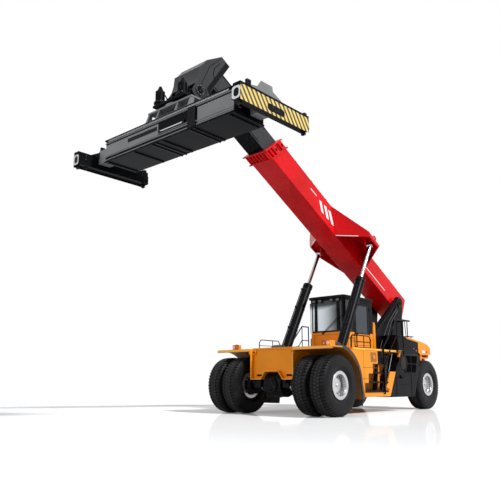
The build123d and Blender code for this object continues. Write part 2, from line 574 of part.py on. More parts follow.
outer = side_plate([(BOOM_TAIL, LOW), (mouth(BOOM_FRONT, LOW), LOW), (mouth(BOOM_FRONT, HIGH), HIGH),
                    (BOOM_TAIL + 60, HIGH)], (-BW, BW))
outer -= side_plate([(260, LOW + BOOM_WALL), (BOOM_FRONT + 200, LOW + BOOM_WALL),
                     (BOOM_FRONT + 200, HIGH - BOOM_WALL), (260, HIGH - BOOM_WALL)],
                    (-BW + BOOM_WALL, BW - BOOM_WALL))
outer -= side_plate([(BOOM_TAIL - 50, LOW - 10), (BOOM_TAIL - 50, HIGH - 160), (-330, HIGH - 160),
                     (-330, LOW - 10)],
                    (-BW + 70, BW - 70))
outer += along_y(0, 0, (-MAST_IN + RUN, MAST_IN - RUN), 185)
outer += along_y(0, 0, (-MAST_OUT - 40, MAST_OUT + 40), LUFF_PIN_R)
keep("outer_boom", in_boom(outer))

COLLAR = 380
COLLAR_RIM = 60
collar = side_plate([(mouth(BOOM_FRONT, LOW - 30), LOW - 30),
                     (mouth(BOOM_FRONT + COLLAR, LOW - 30), LOW - 30),
                     (mouth(BOOM_FRONT + COLLAR, HIGH + 30), HIGH + 30),
                     (mouth(BOOM_FRONT, HIGH + 30), HIGH + 30)],
                    (-BW, BW))
for start, end in ((0, 45), (COLLAR - 45, COLLAR)):
    collar += side_plate([(mouth(BOOM_FRONT + start, LOW - 75), LOW - 75),
                          (mouth(BOOM_FRONT + end, LOW - 75), LOW - 75),
                          (mouth(BOOM_FRONT + end, HIGH + 50), HIGH + 50),
                          (mouth(BOOM_FRONT + start, HIGH + 50), HIGH + 50)],
                         (-BW - COLLAR_RIM, BW + COLLAR_RIM))
INNER_LOW = BOOM_ABOVE_PIN - INNER_HEIGHT / 2
INNER_HIGH = BOOM_ABOVE_PIN + INNER_HEIGHT / 2
collar -= box((BOOM_FRONT - 900, BOOM_FRONT + 900), (-INNER_WIDTH / 2 - RUN, INNER_WIDTH / 2 + RUN),
              (INNER_LOW - FIT, INNER_HIGH + RUN))
keep("boom_collar", in_boom(collar))

# brackets that carry the lift rods: a wedge each side, open below
eye_u, eye_w = to_boom(*LIFT_EYE)
WING_OUT = 1200
PLATE = 35
WING_ROOT = {"front_top": (4818, 533), "front_low": (4188, -204), "back_low": (2238, -204),
             "back_top": (2008, 533)}
WING_TIP = {"front_top": (3588, 286), "front_low": (3488, 156), "back_low": (2888, 156),
            "back_top": (2838, 276)}


def wedge(root, tip, y0, y1):
    """A solid between two outlines in boom stations, root at y0 and tip at y1."""
    faces = []
    for points, y in ((root, y0), (tip, y1)):
        plane = Plane(origin=(0, y, 0), x_dir=(1, 0, 0), z_dir=(0, -1, 0))
        faces.append(plane * Polygon(*points, align=None))
    return loft(faces, ruled=True)


def between(a, b, t):
    """A point a fraction t of the way from a to b."""
    return a[0] + (b[0] - a[0]) * t, a[1] + (b[1] - a[1]) * t


def pocket_outline(corners, drop):
    """A wing outline moved in by its plates and run on below, so the pocket is open underneath."""
    (ftx, ftz), (flx, flz) = corners["front_top"], corners["front_low"]
    (btx, btz), (blx, blz) = corners["back_top"], corners["back_low"]
    front = (ftx - flx) / (ftz - flz)
    back = (btx - blx) / (btz - blz)
    step = PLATE * 1.3
    return [(ftx - step - PLATE * front, ftz - PLATE), (flx - step - drop * front, flz - drop),
            (blx + step - drop * back, blz - drop), (btx + step - PLATE * back, btz - PLATE)]


tip_t = (WING_OUT - PLATE - BW) / (WING_OUT - BW)
inner_tip_corners = {k: between(WING_ROOT[k], WING_TIP[k], tip_t) for k in WING_ROOT}
bracket = wedge(list(WING_ROOT.values()), list(WING_TIP.values()), BW, WING_OUT)
bracket -= wedge(pocket_outline(WING_ROOT, 300), pocket_outline(inner_tip_corners, 300), BW - 1,
                 WING_OUT - PLATE)
LUG_LOW = 62
bracket += side_plate([(eye_u - 150, 360), (eye_u + 260, 360), (eye_u + 70, LUG_LOW), (eye_u - 70, LUG_LOW)],
                      (LIFT_Y - 150, LIFT_Y - 110))
bracket += along_y(eye_u, eye_w, (LIFT_Y - 170, LIFT_Y - 105), 45)
keep("cylinder_brackets", *[in_boom(b) for b in both(bracket)])

# ---- inner boom and head -----------------------------------------------------------------------
IW = INNER_WIDTH / 2
inner = box((INNER_TAIL, INNER_TIP), (-IW, IW), (INNER_LOW, INNER_HIGH))
inner -= box((INNER_TAIL - 10, INNER_TIP - 200), (-IW + INNER_WALL, IW - INNER_WALL),
             (INNER_LOW + INNER_WALL, INNER_HIGH - INNER_WALL))
keep("inner_boom", in_boom(inner))

HEAD_HALF = 500
HEAD_T = 45
PIN_X, PIN_Z = HANG_PIN
PIN_R = 70
HEAD_LINE = [(2640, 9400), (2950, 9570), (3510, 9240), (3650, 9060), (3760, 8960), (3790, 8700), (3860, 8470),
             (3960, 8300), (3990, 8140), (3880, 8060), (3560, 8050), (3270, 8240), (3350, 8380)]
head_side = side_plate(HEAD_LINE, (HEAD_HALF - HEAD_T, HEAD_HALF))
head_side += along_y(PIN_X, PIN_Z, (HEAD_HALF - 75, HEAD_HALF + 25), 150)
head = head_side + mirrored(head_side)
head += side_plate([(2640, 9400), (2950, 9570), (3510, 9240), (3650, 9060), (3760, 8960), (3790, 8700),
                    (3860, 8470),
                    (3815, 8460), (3745, 8690), (3715, 8940), (3620, 9025), (3485, 9195), (2950, 9520),
                    (2690, 9375)],
                   (-HEAD_HALF, HEAD_HALF))
head += side_plate([(2640, 9400), (2720, 9440), (3420, 8420), (3330, 8250), (3270, 8240), (3350, 8380)],
                   (-HEAD_HALF, HEAD_HALF))
head += side_plate([(3100, 9480), (3140, 9450), (3600, 8700), (3560, 8660)], (-HEAD_HALF, HEAD_HALF))
head -= in_boom(box((INNER_TAIL, INNER_TIP + SEAT), (-IW - SEAT, IW + SEAT),
                    (INNER_LOW - SEAT, INNER_HIGH + SEAT)))
head += along_y(PIN_X, PIN_Z, (-HEAD_HALF - 20, HEAD_HALF + 20), PIN_R)
keep("boom_head", head)

# ---- hanger, rotator, spreader -----------------------------------------------------------------
YOKE_Z = 7960
YOKE_LUG = (225, 330)
LUG_R = 140
PLATE_X = (PIN_X - 200, SLEW_X + 330)
yoke = box(PLATE_X, (-620, 620), (YOKE_Z - 60, YOKE_Z))
yoke += upright(SLEW_X, 0, (YOKE_Z - 110, YOKE_Z - 50), 300)
for s in (1, -1):
    lug_y = tuple(s * y for y in YOKE_LUG)
    yoke += side_plate([(PIN_X - 150, YOKE_Z - 10), (PIN_X - 130, PIN_Z), (PIN_X + 130, PIN_Z),
                        (PIN_X + 260, YOKE_Z - 10)], lug_y)
    yoke += along_y(PIN_X, PIN_Z, lug_y, LUG_R)
yoke -= along_y(PIN_X, PIN_Z, (-700, 700), PIN_R + SEAT)
keep("hanger_yoke", yoke)

MOTORS = ((330, 4200), (-470, 4260))      # Y and X of each slew motor
motors = []
for y, x in MOTORS:
    motor = upright(x, y, (YOKE_Z, YOKE_Z + 50), 125)
    motor += upright(x, y, (YOKE_Z + 40, YOKE_Z + 90), 160)
    motor += upright(x, y, (YOKE_Z + 80, YOKE_Z + 390), 112)
    motor += Pos(x, y, YOKE_Z + 465) * Cone(100, 35, 160)
    motors.append(motor)
keep("slew_motors", *motors)

RAIL_Z = 7450
TOWER_TOP = YOKE_Z - 110 - SEAT
TOWER_Z = TOWER_TOP - 45
rotator = upright(SLEW_X, 0, (TOWER_Z - 10, TOWER_TOP), 330)
rotator += box((SLEW_X - 400, SLEW_X + 330), (-800, 880), (TOWER_Z - 45, TOWER_Z))
rotator -= upright(SLEW_X, 0, (7000, 8000), 150)
LEG_Y = (-760, -360, 360, 840)
BEAM_X = (3500, 4500)
FOOT_X = (BEAM_X[0] + 50, BEAM_X[1] - 40)
for y in LEG_Y:
    for x, lean in ((FOOT_X[0], 1), (FOOT_X[1], -1)):
        top = SLEW_X - 380 if lean > 0 else SLEW_X + 310
        rotator += side_plate([(x, RAIL_Z + 60), (x + lean * 150, RAIL_Z + 60),
                               (top + lean * 90, TOWER_Z - 40),
                               (top, TOWER_Z - 20)], (y - 30, y + 30))
for x0, x1 in ((FOOT_X[0], FOOT_X[0] + 150), (FOOT_X[1] - 150, FOOT_X[1])):
    rotator += box((x0, x1), (-820, 900), (RAIL_Z + 0.5, RAIL_Z + 65))
keep("rotator_frame", rotator)

BEAM_Z = (6800, RAIL_Z)
BEAM_Y = (-2450, 2450)
SLOT_Z = (6905, 7290)
ARM_X = {"left": (3590, 3960), "right": (4040, 4410)}      # where each arm runs in the main beam
beam = box(BEAM_X, BEAM_Y, BEAM_Z)
for x0, x1 in ARM_X.values():
    beam -= box((x0 - RUN, x1 + RUN), (BEAM_Y[0] - 10, BEAM_Y[1] + 10), (SLOT_Z[0] - 0.5, SLOT_Z[1] + RUN))
for z0, z1, out in ((BEAM_Z[0], BEAM_Z[0] + 35, 35), (BEAM_Z[1] - 40, BEAM_Z[1], 45)):
    for x0, x1 in ((BEAM_X[0] - out, BEAM_X[0] + 5), (BEAM_X[1] - 5, BEAM_X[1] + out)):
        beam += box((x0, x1), BEAM_Y, (z0, z1))
for y in (-2300, -1150, 0, 1150, 2300):
    beam += box(BEAM_X, (y - 20, y + 20), (BEAM_Z[0] - 30, BEAM_Z[0] + 5))
keep("spreader_beam", beam)

END_IN = END_BEAM_Y - END_BEAM_WIDTH / 2
END_OUT = END_BEAM_Y + END_BEAM_WIDTH / 2
ARM_TAIL = 1900
END_X = (END_BEAM_X - END_BEAM_LENGTH / 2, END_BEAM_X + END_BEAM_LENGTH / 2)
LOCK_X = (END_BEAM_X - 1129.5, END_BEAM_X + 1129.5)
GUSSET = [(4620, 7110), (4490, 7330), (4240, 7380), (4110, 7565), (3720, 7565), (3700, 7440), (3470, 7350),
          (3020, 7110)]
LOCK_R = 30
for side, s in SIDES:
    x0, x1 = ARM_X[side]
    arm = box((x0, x1), (-s * ARM_TAIL, s * (END_IN - SEAT)), SLOT_Z)
    arm -= box((x0 + 25, x1 - 25), (-s * (ARM_TAIL + 10), s * (END_IN - 60)),
               (SLOT_Z[0] + 25, SLOT_Z[1] - 25))
    keep(f"arm_{side}", arm)
    end_beam = box(END_X, (s * END_IN, s * END_OUT), END_BEAM_Z)
    end_beam -= box((END_X[0] + 300, END_X[1] - 300), (s * (END_IN + 25), s * (END_OUT - 25)),
                    (END_BEAM_Z[0] + 25, END_BEAM_Z[1] - 25))
    end_beam += box(END_X, (s * (END_IN - 35), s * END_OUT), (END_BEAM_Z[0], END_BEAM_Z[0] + 30))
    end_beam += box((END_X[1] - 190, END_X[1]), (s * (END_IN - 20), s * END_OUT),
                    (END_BEAM_Z[0], END_BEAM_Z[0] + 250))
    end_beam += box((END_X[0], END_X[0] + 190), (s * (END_IN - 20), s * END_OUT),
                    (END_BEAM_Z[0], END_BEAM_Z[0] + 250))
    outline = [(x if s > 0 else 2 * END_BEAM_X - x, z) for x, z in GUSSET]
    end_beam += side_plate(outline, (s * (END_IN - 40), s * (END_IN - 10)))
    end_beam += box((END_BEAM_X - 700, END_BEAM_X + 700), (s * (END_IN - 40), s * (END_IN + 5)),
                    (END_BEAM_Z[1] - 60, END_BEAM_Z[1]))
    for x in LOCK_X:
        end_beam -= upright(x, s * END_BEAM_Y, (END_BEAM_Z[0] - 10, END_BEAM_Z[0] + 200), LOCK_R + SEAT)
    end_beam -= box((x0 - SEAT, x1 + SEAT), (s * (END_IN - 45), s * END_IN),
                    (SLOT_Z[0] - SEAT, SLOT_Z[1] + SEAT))
    keep(f"end_beam_{side}", end_beam)
    for end, x in (("rear", LOCK_X[0]), ("front", LOCK_X[1])):
        lock = upright(x, s * END_BEAM_Y, (END_BEAM_Z[0] - 60, END_BEAM_Z[0] + 150), LOCK_R)
        lock += box((x - 30, x + 30), (s * END_BEAM_Y - 52, s * END_BEAM_Y + 52),
                    (END_BEAM_Z[0] - 100, END_BEAM_Z[0] - 50))
        keep(f"twistlock_{end}_{side}", lock)

# ---- lift cylinders ----------------------------------------------------------------------------
def in_lift(shape, y):
    """Place a shape drawn along +Z from the base pin onto the lift cylinder's line."""
    dx, dz = LIFT_EYE[0] - LIFT_BASE[0], LIFT_EYE[1] - LIFT_BASE[1]
    return Pos(LIFT_BASE[0], y, LIFT_BASE[1]) * Rot(0, math.degrees(math.atan2(dx, dz)), 0) * shape


lift_length = math.hypot(LIFT_EYE[0] - LIFT_BASE[0], LIFT_EYE[1] - LIFT_BASE[1])
GLAND = 110
for side, s in SIDES:
    barrel = along_y(0, 0, (-115, 115), 145) + box((-110, 110), (-115, 115), (60, 200))
    barrel += upright(0, 0, (178, BARREL_LENGTH), BARREL_R)
    barrel += upright(0, 0, (BARREL_LENGTH - 120, BARREL_LENGTH), BARREL_R + 14)
    barrel -= upright(0, 0, (215, BARREL_LENGTH + 10), BARREL_BORE)
    barrel += (upright(0, 0, (BARREL_LENGTH - GLAND, BARREL_LENGTH), BARREL_BORE + 5)
               - upright(0, 0, (BARREL_LENGTH - 120, BARREL_LENGTH + 10), ROD_R + RUN))
    barrel -= along_y(0, 0, (-200, 200), 70 + SEAT)
    keep(f"lift_barrel_{side}", in_lift(barrel, s * LIFT_Y))
    rod = upright(0, 0, (lift_length - ROD_LENGTH, lift_length - LIFT_EYE_R + 20), ROD_R)
    rod += upright(0, 0, (lift_length - ROD_LENGTH, lift_length - ROD_LENGTH + 90), BARREL_BORE - 0.5)
    rod += along_y(0, lift_length, (-85, 85), LIFT_EYE_R) + along_y(0, lift_length, (-98, 98), 42)
    keep(f"lift_rod_{side}", in_lift(rod, s * LIFT_Y))
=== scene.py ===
"""Reach stacker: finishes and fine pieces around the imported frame."""
import json
import logging
import math
from dataclasses import dataclass, field
from enum import Enum
from typing import Callable, Optional, Sequence

import bmesh
import bpy
from mathutils import Matrix, Vector


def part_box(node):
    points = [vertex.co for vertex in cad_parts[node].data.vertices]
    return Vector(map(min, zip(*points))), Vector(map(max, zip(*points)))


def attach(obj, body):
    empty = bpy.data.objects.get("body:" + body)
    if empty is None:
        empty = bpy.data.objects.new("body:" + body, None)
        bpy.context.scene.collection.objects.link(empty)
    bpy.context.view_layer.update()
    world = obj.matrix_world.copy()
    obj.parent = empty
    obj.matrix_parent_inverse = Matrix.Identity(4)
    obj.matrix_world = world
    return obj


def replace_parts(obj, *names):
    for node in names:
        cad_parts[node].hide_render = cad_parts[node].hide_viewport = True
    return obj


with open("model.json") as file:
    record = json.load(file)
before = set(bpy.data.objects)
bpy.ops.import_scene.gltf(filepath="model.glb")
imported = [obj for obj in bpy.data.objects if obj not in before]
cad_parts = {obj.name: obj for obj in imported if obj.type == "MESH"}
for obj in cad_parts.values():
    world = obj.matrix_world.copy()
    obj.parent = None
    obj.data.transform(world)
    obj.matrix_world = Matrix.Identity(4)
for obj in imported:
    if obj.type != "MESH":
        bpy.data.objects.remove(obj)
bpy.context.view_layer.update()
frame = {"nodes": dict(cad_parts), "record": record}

LOG = logging.getLogger("reach_stacker")
Point = Sequence[float]
Line = Sequence[Point]
Colour = tuple[float, float, float]
Material = bpy.types.Material
Node = bpy.types.Node
Socket = bpy.types.NodeSocket
Tree = bpy.types.NodeTree
SIDES = (("left", 1), ("right", -1))
BOTH = (1, -1)
TURN = 2 * math.pi
RECORD = frame["record"]
SLOT_OF = {part["node"]: part["material_slot"] for part in RECORD["subparts"]}
BODY_OF = {name: body for body, names in RECORD["behaviour"]["bodies"].items() for name in names}
# Sizes below are in metres from the front axle's line on the ground; Shape.piece moves them to the frame.
AXLE_X = 1.04
TO_FRAME = Matrix.Translation((AXLE_X, 0.0, 0.0))
LUFF_PIN = (-6.25, 0.0, 3.7)
BOOM_RISE = math.radians(29.0)
BOOM = Matrix.Translation(LUFF_PIN) @ Matrix.Rotation(-BOOM_RISE, 4, "Y")
LIFT_BASE = (-1.27, 1.25)
LIFT_EYE = (-3.571, 5.311)
LIFT_LEAN = math.atan2(LIFT_EYE[0] - LIFT_BASE[0], LIFT_EYE[1] - LIFT_BASE[1])


class Body(str, Enum):
    """The frame's rigid bodies."""

    CHASSIS = "chassis"
    BOOM = "outer_boom"
    INNER = "inner_boom"
    HANGER = "hanger"
    ROTATOR = "rotator"
    SPREADER = "spreader"
    DOOR = "cab_door"


class Axis(Enum):
    """The row axes, as indices."""

    X = 0
    Y = 1
    Z = 2


X, Y, Z = Axis


# ---- shader nodes ------------------------------------------------------------------------------
def feed(tree: Tree, target: Node, inputs: dict[object, object]) -> None:
    """Give a node's inputs, by name or index, their sockets or values."""
    for key, value in inputs.items():
        if isinstance(value, Socket):
            tree.links.new(value, target.inputs[key])
        else:
            target.inputs[key].default_value = value


def node(tree: Tree, kind: str, inputs: Optional[dict[object, object]] = None, **settings: object) -> Node:
    """Add a node, set its properties by name and feed its inputs."""
    made = tree.nodes.new(kind)
    for label, value in settings.items():
        setattr(made, label, value)
    feed(tree, made, inputs or {})
    return made


def math_node(tree: Tree, operation: str, a: object, b: object, clamp: bool = False) -> Socket:
    """Work with two sockets or numbers; a clamped result stays between 0 and 1."""
    return node(tree, "ShaderNodeMath", {0: a, 1: b}, operation=operation, use_clamp=clamp).outputs[0]


def mixed(tree: Tree, factor: object, a: object, b: object) -> Socket:
    """Mix two colours; each of the three may be a socket or a value."""
    return node(tree, "ShaderNodeMix", {0: factor, 6: a, 7: b}, data_type="RGBA").outputs[2]


def noise(tree: Tree, vector: Socket, scale: object, detail: float = 4.0, rough: float = 0.55) -> Socket:
    """A noise texture's value over a vector."""
    return node(tree, "ShaderNodeTexNoise", {"Vector": vector, "Scale": scale, "Detail": detail,
                                             "Roughness": rough}).outputs[0]


def ramp(tree: Tree, value: Socket, low: float, high: float) -> Socket:
    """Map low..high smoothly to 0..1."""
    return node(tree, "ShaderNodeMapRange", {"Value": value, "From Min": low, "From Max": high},
                interpolation_type="SMOOTHSTEP").outputs[0]


def bumped(tree: Tree, height: Socket, strength: float, **distance: float) -> Socket:
    """A normal lifted by a height."""
    return node(tree, "ShaderNodeBump", {"Height": height, "Strength": strength, **distance}).outputs[0]


def parts_of(tree: Tree, vector: Socket) -> Sequence[Socket]:
    """The X, Y and Z of a vector."""
    return node(tree, "ShaderNodeSeparateXYZ", {0: vector}).outputs


def new_group(name: str, inputs: dict[str, float],
              outputs: Sequence[str]) -> tuple[Tree, Sequence[Socket], Node]:
    """Start a shader node group.

    Args:
        name: The group's name.
        inputs: Names and default values of its number inputs, which follow a Vector input.
        outputs: Names of its number outputs.

    Returns:
        The new tree, what its inputs bring, and its end node.
    """
    tree = bpy.data.node_groups.new(name, "ShaderNodeTree")
    tree.interface.new_socket("Vector", in_out="INPUT", socket_type="NodeSocketVector")
    for label, value in inputs.items():
        tree.interface.new_socket(label, in_out="INPUT", socket_type="NodeSocketFloat").default_value = value
    for label in outputs:
        tree.interface.new_socket(label, in_out="OUTPUT", socket_type="NodeSocketFloat")
    return tree, node(tree, "NodeGroupInput").outputs, node(tree, "NodeGroupOutput")


def dust_group() -> Tree:
    """Road dust that gathers low down and on faces that look up, as a mask."""
    tree, given, end = new_group("road_dust", {"Amount": 0.2, "Height": 1.2}, ("Mask",))
    height = parts_of(tree, given["Vector"])[2]
    low = math_node(tree, "SUBTRACT", 1.0, math_node(tree, "DIVIDE", height, given["Height"]), True)
    up = ramp(tree, parts_of(tree, node(tree, "ShaderNodeNewGeometry").outputs["Normal"])[2], 0.3, 1.0)
    grime = ramp(tree, noise(tree, given["Vector"], 2.3, 7.0, 0.62), 0.4, 0.75)
    both = math_node(tree, "ADD", low, math_node(tree, "MULTIPLY", up, 0.35), True)
    mask = math_node(tree, "MULTIPLY", both, math_node(tree, "ADD", grime, 0.25, True))
    feed(tree, end, {"Mask": math_node(tree, "MULTIPLY", mask, given["Amount"], True)})
    return tree


def grain_group() -> Tree:
    """Fine unevenness of a coat or a casting, as a roughness offset and a height."""
    tree, given, end = new_group("surface_grain", {"Scale": 60.0, "Spread": 0.1}, ("Offset", "Height"))
    fine = noise(tree, given["Vector"], given["Scale"], 3.0, 0.5)
    broad = noise(tree, given["Vector"], 1.7, 5.0)
    centred = math_node(tree, "SUBTRACT", math_node(tree, "ADD", fine, broad), 1.0)
    feed(tree, end, {"Offset": math_node(tree, "MULTIPLY", centred, given["Spread"]), "Height": fine})
    return tree


def wear_group() -> Tree:
    """Rubbed edges and small chips, as a mask."""
    tree, given, end = new_group("edge_wear", {"Amount": 0.3}, ("Mask",))
    edge = ramp(tree, node(tree, "ShaderNodeNewGeometry").outputs["Pointiness"], 0.51, 0.6)
    chips = ramp(tree, noise(tree, given["Vector"], 19.0, 8.0, 0.7), 0.56, 0.68)
    mask = math_node(tree, "MULTIPLY", edge, chips)
    feed(tree, end, {"Mask": math_node(tree, "MULTIPLY", mask, given["Amount"], True)})
    return tree


def place(tree: Tree, group: Tree, vector: Socket, **values: float) -> Sequence[Socket]:
    """Put a shader group into a material and give its outputs."""
    return node(tree, "ShaderNodeGroup", {"Vector": vector, **values}, node_tree=group).outputs


DUST = dust_group()
GRAIN = grain_group()
WEAR = wear_group()
DUST_COLOUR = (0.30, 0.26, 0.21, 1.0)
BARE_STEEL = (0.33, 0.33, 0.33, 1.0)


# ---- finishes ----------------------------------------------------------------------------------
def seen_rays(tree: Tree) -> Socket:
    """One for rays from the camera, off gloss or through glass, and nought for the light that they gather."""
    path = node(tree, "ShaderNodeLightPath").outputs
    mirrored = math_node(tree, "MAXIMUM", path["Is Glossy Ray"], path["Is Transmission Ray"])
    return math_node(tree, "MAXIMUM", path["Is Camera Ray"], mirrored)


def blank_material(name: str) -> tuple[Material, Tree, Node, Socket]:
    """A new material, its tree, its Principled shader and its Object coordinate."""
    material = bpy.data.materials.new(f"{name}_finish")
    material["slot"] = name
    material.use_nodes = True
    tree = material.node_tree
    return material, tree, tree.nodes["Principled BSDF"], node(tree, "ShaderNodeTexCoord").outputs["Object"]


@dataclass(frozen=True)
class Coat:
    """A paint, plastic, rubber or metal with grain, dust and worn edges."""

    name: str
    colour: Colour
    rough: float = 0.4
    metallic: float = 0.0
    coat: float = 0.0
    gloss: float = 0.5
    spread: float = 0.12
    grain: float = 60.0
    bump: float = 0.0
    dust: float = 0.2
    dust_height: float = 1.4
    wear: float = 0.3
    shift: float = 0.06

    def build(self) -> Material:
        """Make the material."""
        material, tree, shader, vector = blank_material(self.name)
        shade = tuple(min(1.0, c * (1.0 - self.shift * 2.2)) for c in self.colour) + (1.0,)
        colour = mixed(tree, ramp(tree, noise(tree, vector, 1.3, 6.0), 0.35, 0.7), (*self.colour, 1.0), shade)
        worn = place(tree, WEAR, vector, Amount=self.wear)["Mask"]
        dirt = place(tree, DUST, vector, Amount=self.dust, Height=self.dust_height)["Mask"]
        grain = place(tree, GRAIN, vector, Scale=self.grain, Spread=self.spread)
        rough = math_node(tree, "ADD", grain["Offset"], self.rough, True)
        feed(tree, shader, {
            "Base Color": mixed(tree, dirt, mixed(tree, worn, colour, BARE_STEEL), DUST_COLOUR),
            "Roughness": math_node(tree, "ADD", rough, math_node(tree, "MULTIPLY", dirt, 0.4), True),
            "Metallic": self.metallic, "Specular IOR Level": self.gloss, "Coat Weight": self.coat,
            "Coat Roughness": 0.12})
        if self.bump:
            feed(tree, shader, {"Normal": bumped(tree, grain["Height"], self.bump, Distance=0.004)})
        return material


@dataclass(frozen=True)
class Glazing:
    """Cab glass with faint smears; its colour is a painted reflection, and it glows with that colour."""

    name: str = "cab_glass"
    pale: Colour = (0.62, 0.74, 0.80)
    deep: Colour = (0.018, 0.024, 0.034)
    alpha: float = 0.80
    reflection_glow: float = 0.30

    def build(self) -> Material:
        """Make the material: a painted reflection, pale at the machine's right and deep at its left, with a
        band of painted shade at the top.
        """
        material, tree, shader, vector = blank_material(self.name)
        spot = parts_of(tree, vector)
        smear = noise(tree, vector, 1.7, 3.0)
        fade = ramp(tree, math_node(tree, "ADD", spot[1], math_node(tree, "MULTIPLY", smear, 0.3)), -0.15,
                    0.62)
        fade = math_node(tree, "MAXIMUM", fade, ramp(tree, spot[2], 3.12, 3.34))
        painted_reflection = mixed(tree, fade, (*self.pale, 1.0), (*self.deep, 1.0))
        # Painted reflection: the pale-to-deep colour, which the glass also glows with.
        feed(tree, shader, {
            "Base Color": painted_reflection, "Emission Color": painted_reflection, "Emission Strength": self.reflection_glow,
            "Roughness": math_node(tree, "ADD", math_node(tree, "MULTIPLY", smear, 0.04), 0.03),
            "Alpha": math_node(tree, "ADD", math_node(tree, "MULTIPLY", smear, 0.1), self.alpha)})
        return material


@dataclass(frozen=True)
class Lens:
    """A lamp's moulded lens."""

    name: str
    colour: Colour

    def build(self) -> Material:
        """Make the material."""
        material, tree, shader, vector = blank_material(self.name)
        ribs = node(tree, "ShaderNodeTexWave", {"Scale": 22.0, "Vector": vector},
                    bands_direction="Z").outputs[1]
        dark = tuple(c * 0.7 for c in self.colour) + (1.0,)
        feed(tree, shader, {"Base Color": mixed(tree, ribs, dark, (*self.colour, 1.0)),
                            "Normal": bumped(tree, ribs, 0.3), "Roughness": 0.15})
        return material


@dataclass(frozen=True)
class HazardStripes:
    """Slanted yellow and black bands along X."""

    name: str = "hazard_stripes"
    yellow: Colour = (0.80, 0.56, 0.10)
    black: Colour = (0.035, 0.035, 0.04)
    pitch: float = 0.155
    lean: float = -0.69

    def build(self) -> Material:
        """Make the material."""
        material, tree, shader, vector = blank_material(self.name)
        spot = parts_of(tree, vector)
        along = math_node(tree, "ADD", spot[0], math_node(tree, "MULTIPLY", spot[2], self.lean))
        phase = math_node(tree, "FRACT", math_node(tree, "DIVIDE", along, self.pitch), 0.0)
        band = math_node(tree, "GREATER_THAN", phase, 0.5)
        colour = mixed(tree, band, (*self.yellow, 1.0), (*self.black, 1.0))
        scuff = ramp(tree, noise(tree, vector, 7.0, 8.0, 0.7), 0.62, 0.72)
        colour = mixed(tree, math_node(tree, "MULTIPLY", scuff, 0.35), colour, BARE_STEEL)
        worn = place(tree, WEAR, vector, Amount=0.6)["Mask"]
        grain = place(tree, GRAIN, vector, Scale=50.0, Spread=0.12)["Offset"]
        feed(tree, shader, {"Base Color": mixed(tree, worn, colour, BARE_STEEL),
                            "Roughness": math_node(tree, "ADD", grain, 0.42, True)})
        return material


@dataclass(frozen=True)
class TyreRubber:
    """Rubber with dusty, finely ribbed walls."""

    name: str = "tyre"
    colour: Colour = (0.007, 0.007, 0.008)
    dust: Colour = (0.020, 0.0195, 0.019)

    def build(self) -> Material:
        """Make the material."""
        material, tree, shader, vector = blank_material(self.name)
        grime = ramp(tree, noise(tree, vector, 4.5, 8.0, 0.65), 0.42, 0.72)
        feed(tree, shader, {
            "Base Color": mixed(tree, math_node(tree, "MULTIPLY", grime, 0.55), (*self.colour, 1.0),
                                (*self.dust, 1.0)),
            "Roughness": math_node(tree, "ADD", math_node(tree, "MULTIPLY", grime, 0.2), 0.42, True),
            "Specular IOR Level": 0.10,
            "Normal": bumped(tree, noise(tree, vector, 90.0, 3.0), 0.25, Distance=0.003)})
        return material


@dataclass(frozen=True)
class SeatCloth:
    """Woven seat cloth."""

    name: str = "seat_fabric"
    colour: Colour = (0.035, 0.036, 0.042)

    def build(self) -> Material:
        """Make the material."""
        material, tree, shader, vector = blank_material(self.name)
        weave = node(tree, "ShaderNodeTexChecker", {"Scale": 220.0, "Vector": vector}).outputs[1]
        pale = tuple(c * 1.8 for c in self.colour) + (1.0,)
        feed(tree, shader, {"Base Color": mixed(tree, weave, (*self.colour, 1.0), pale), "Roughness": 0.85,
                            "Normal": bumped(tree, weave, 0.3, Distance=0.002)})
        return material


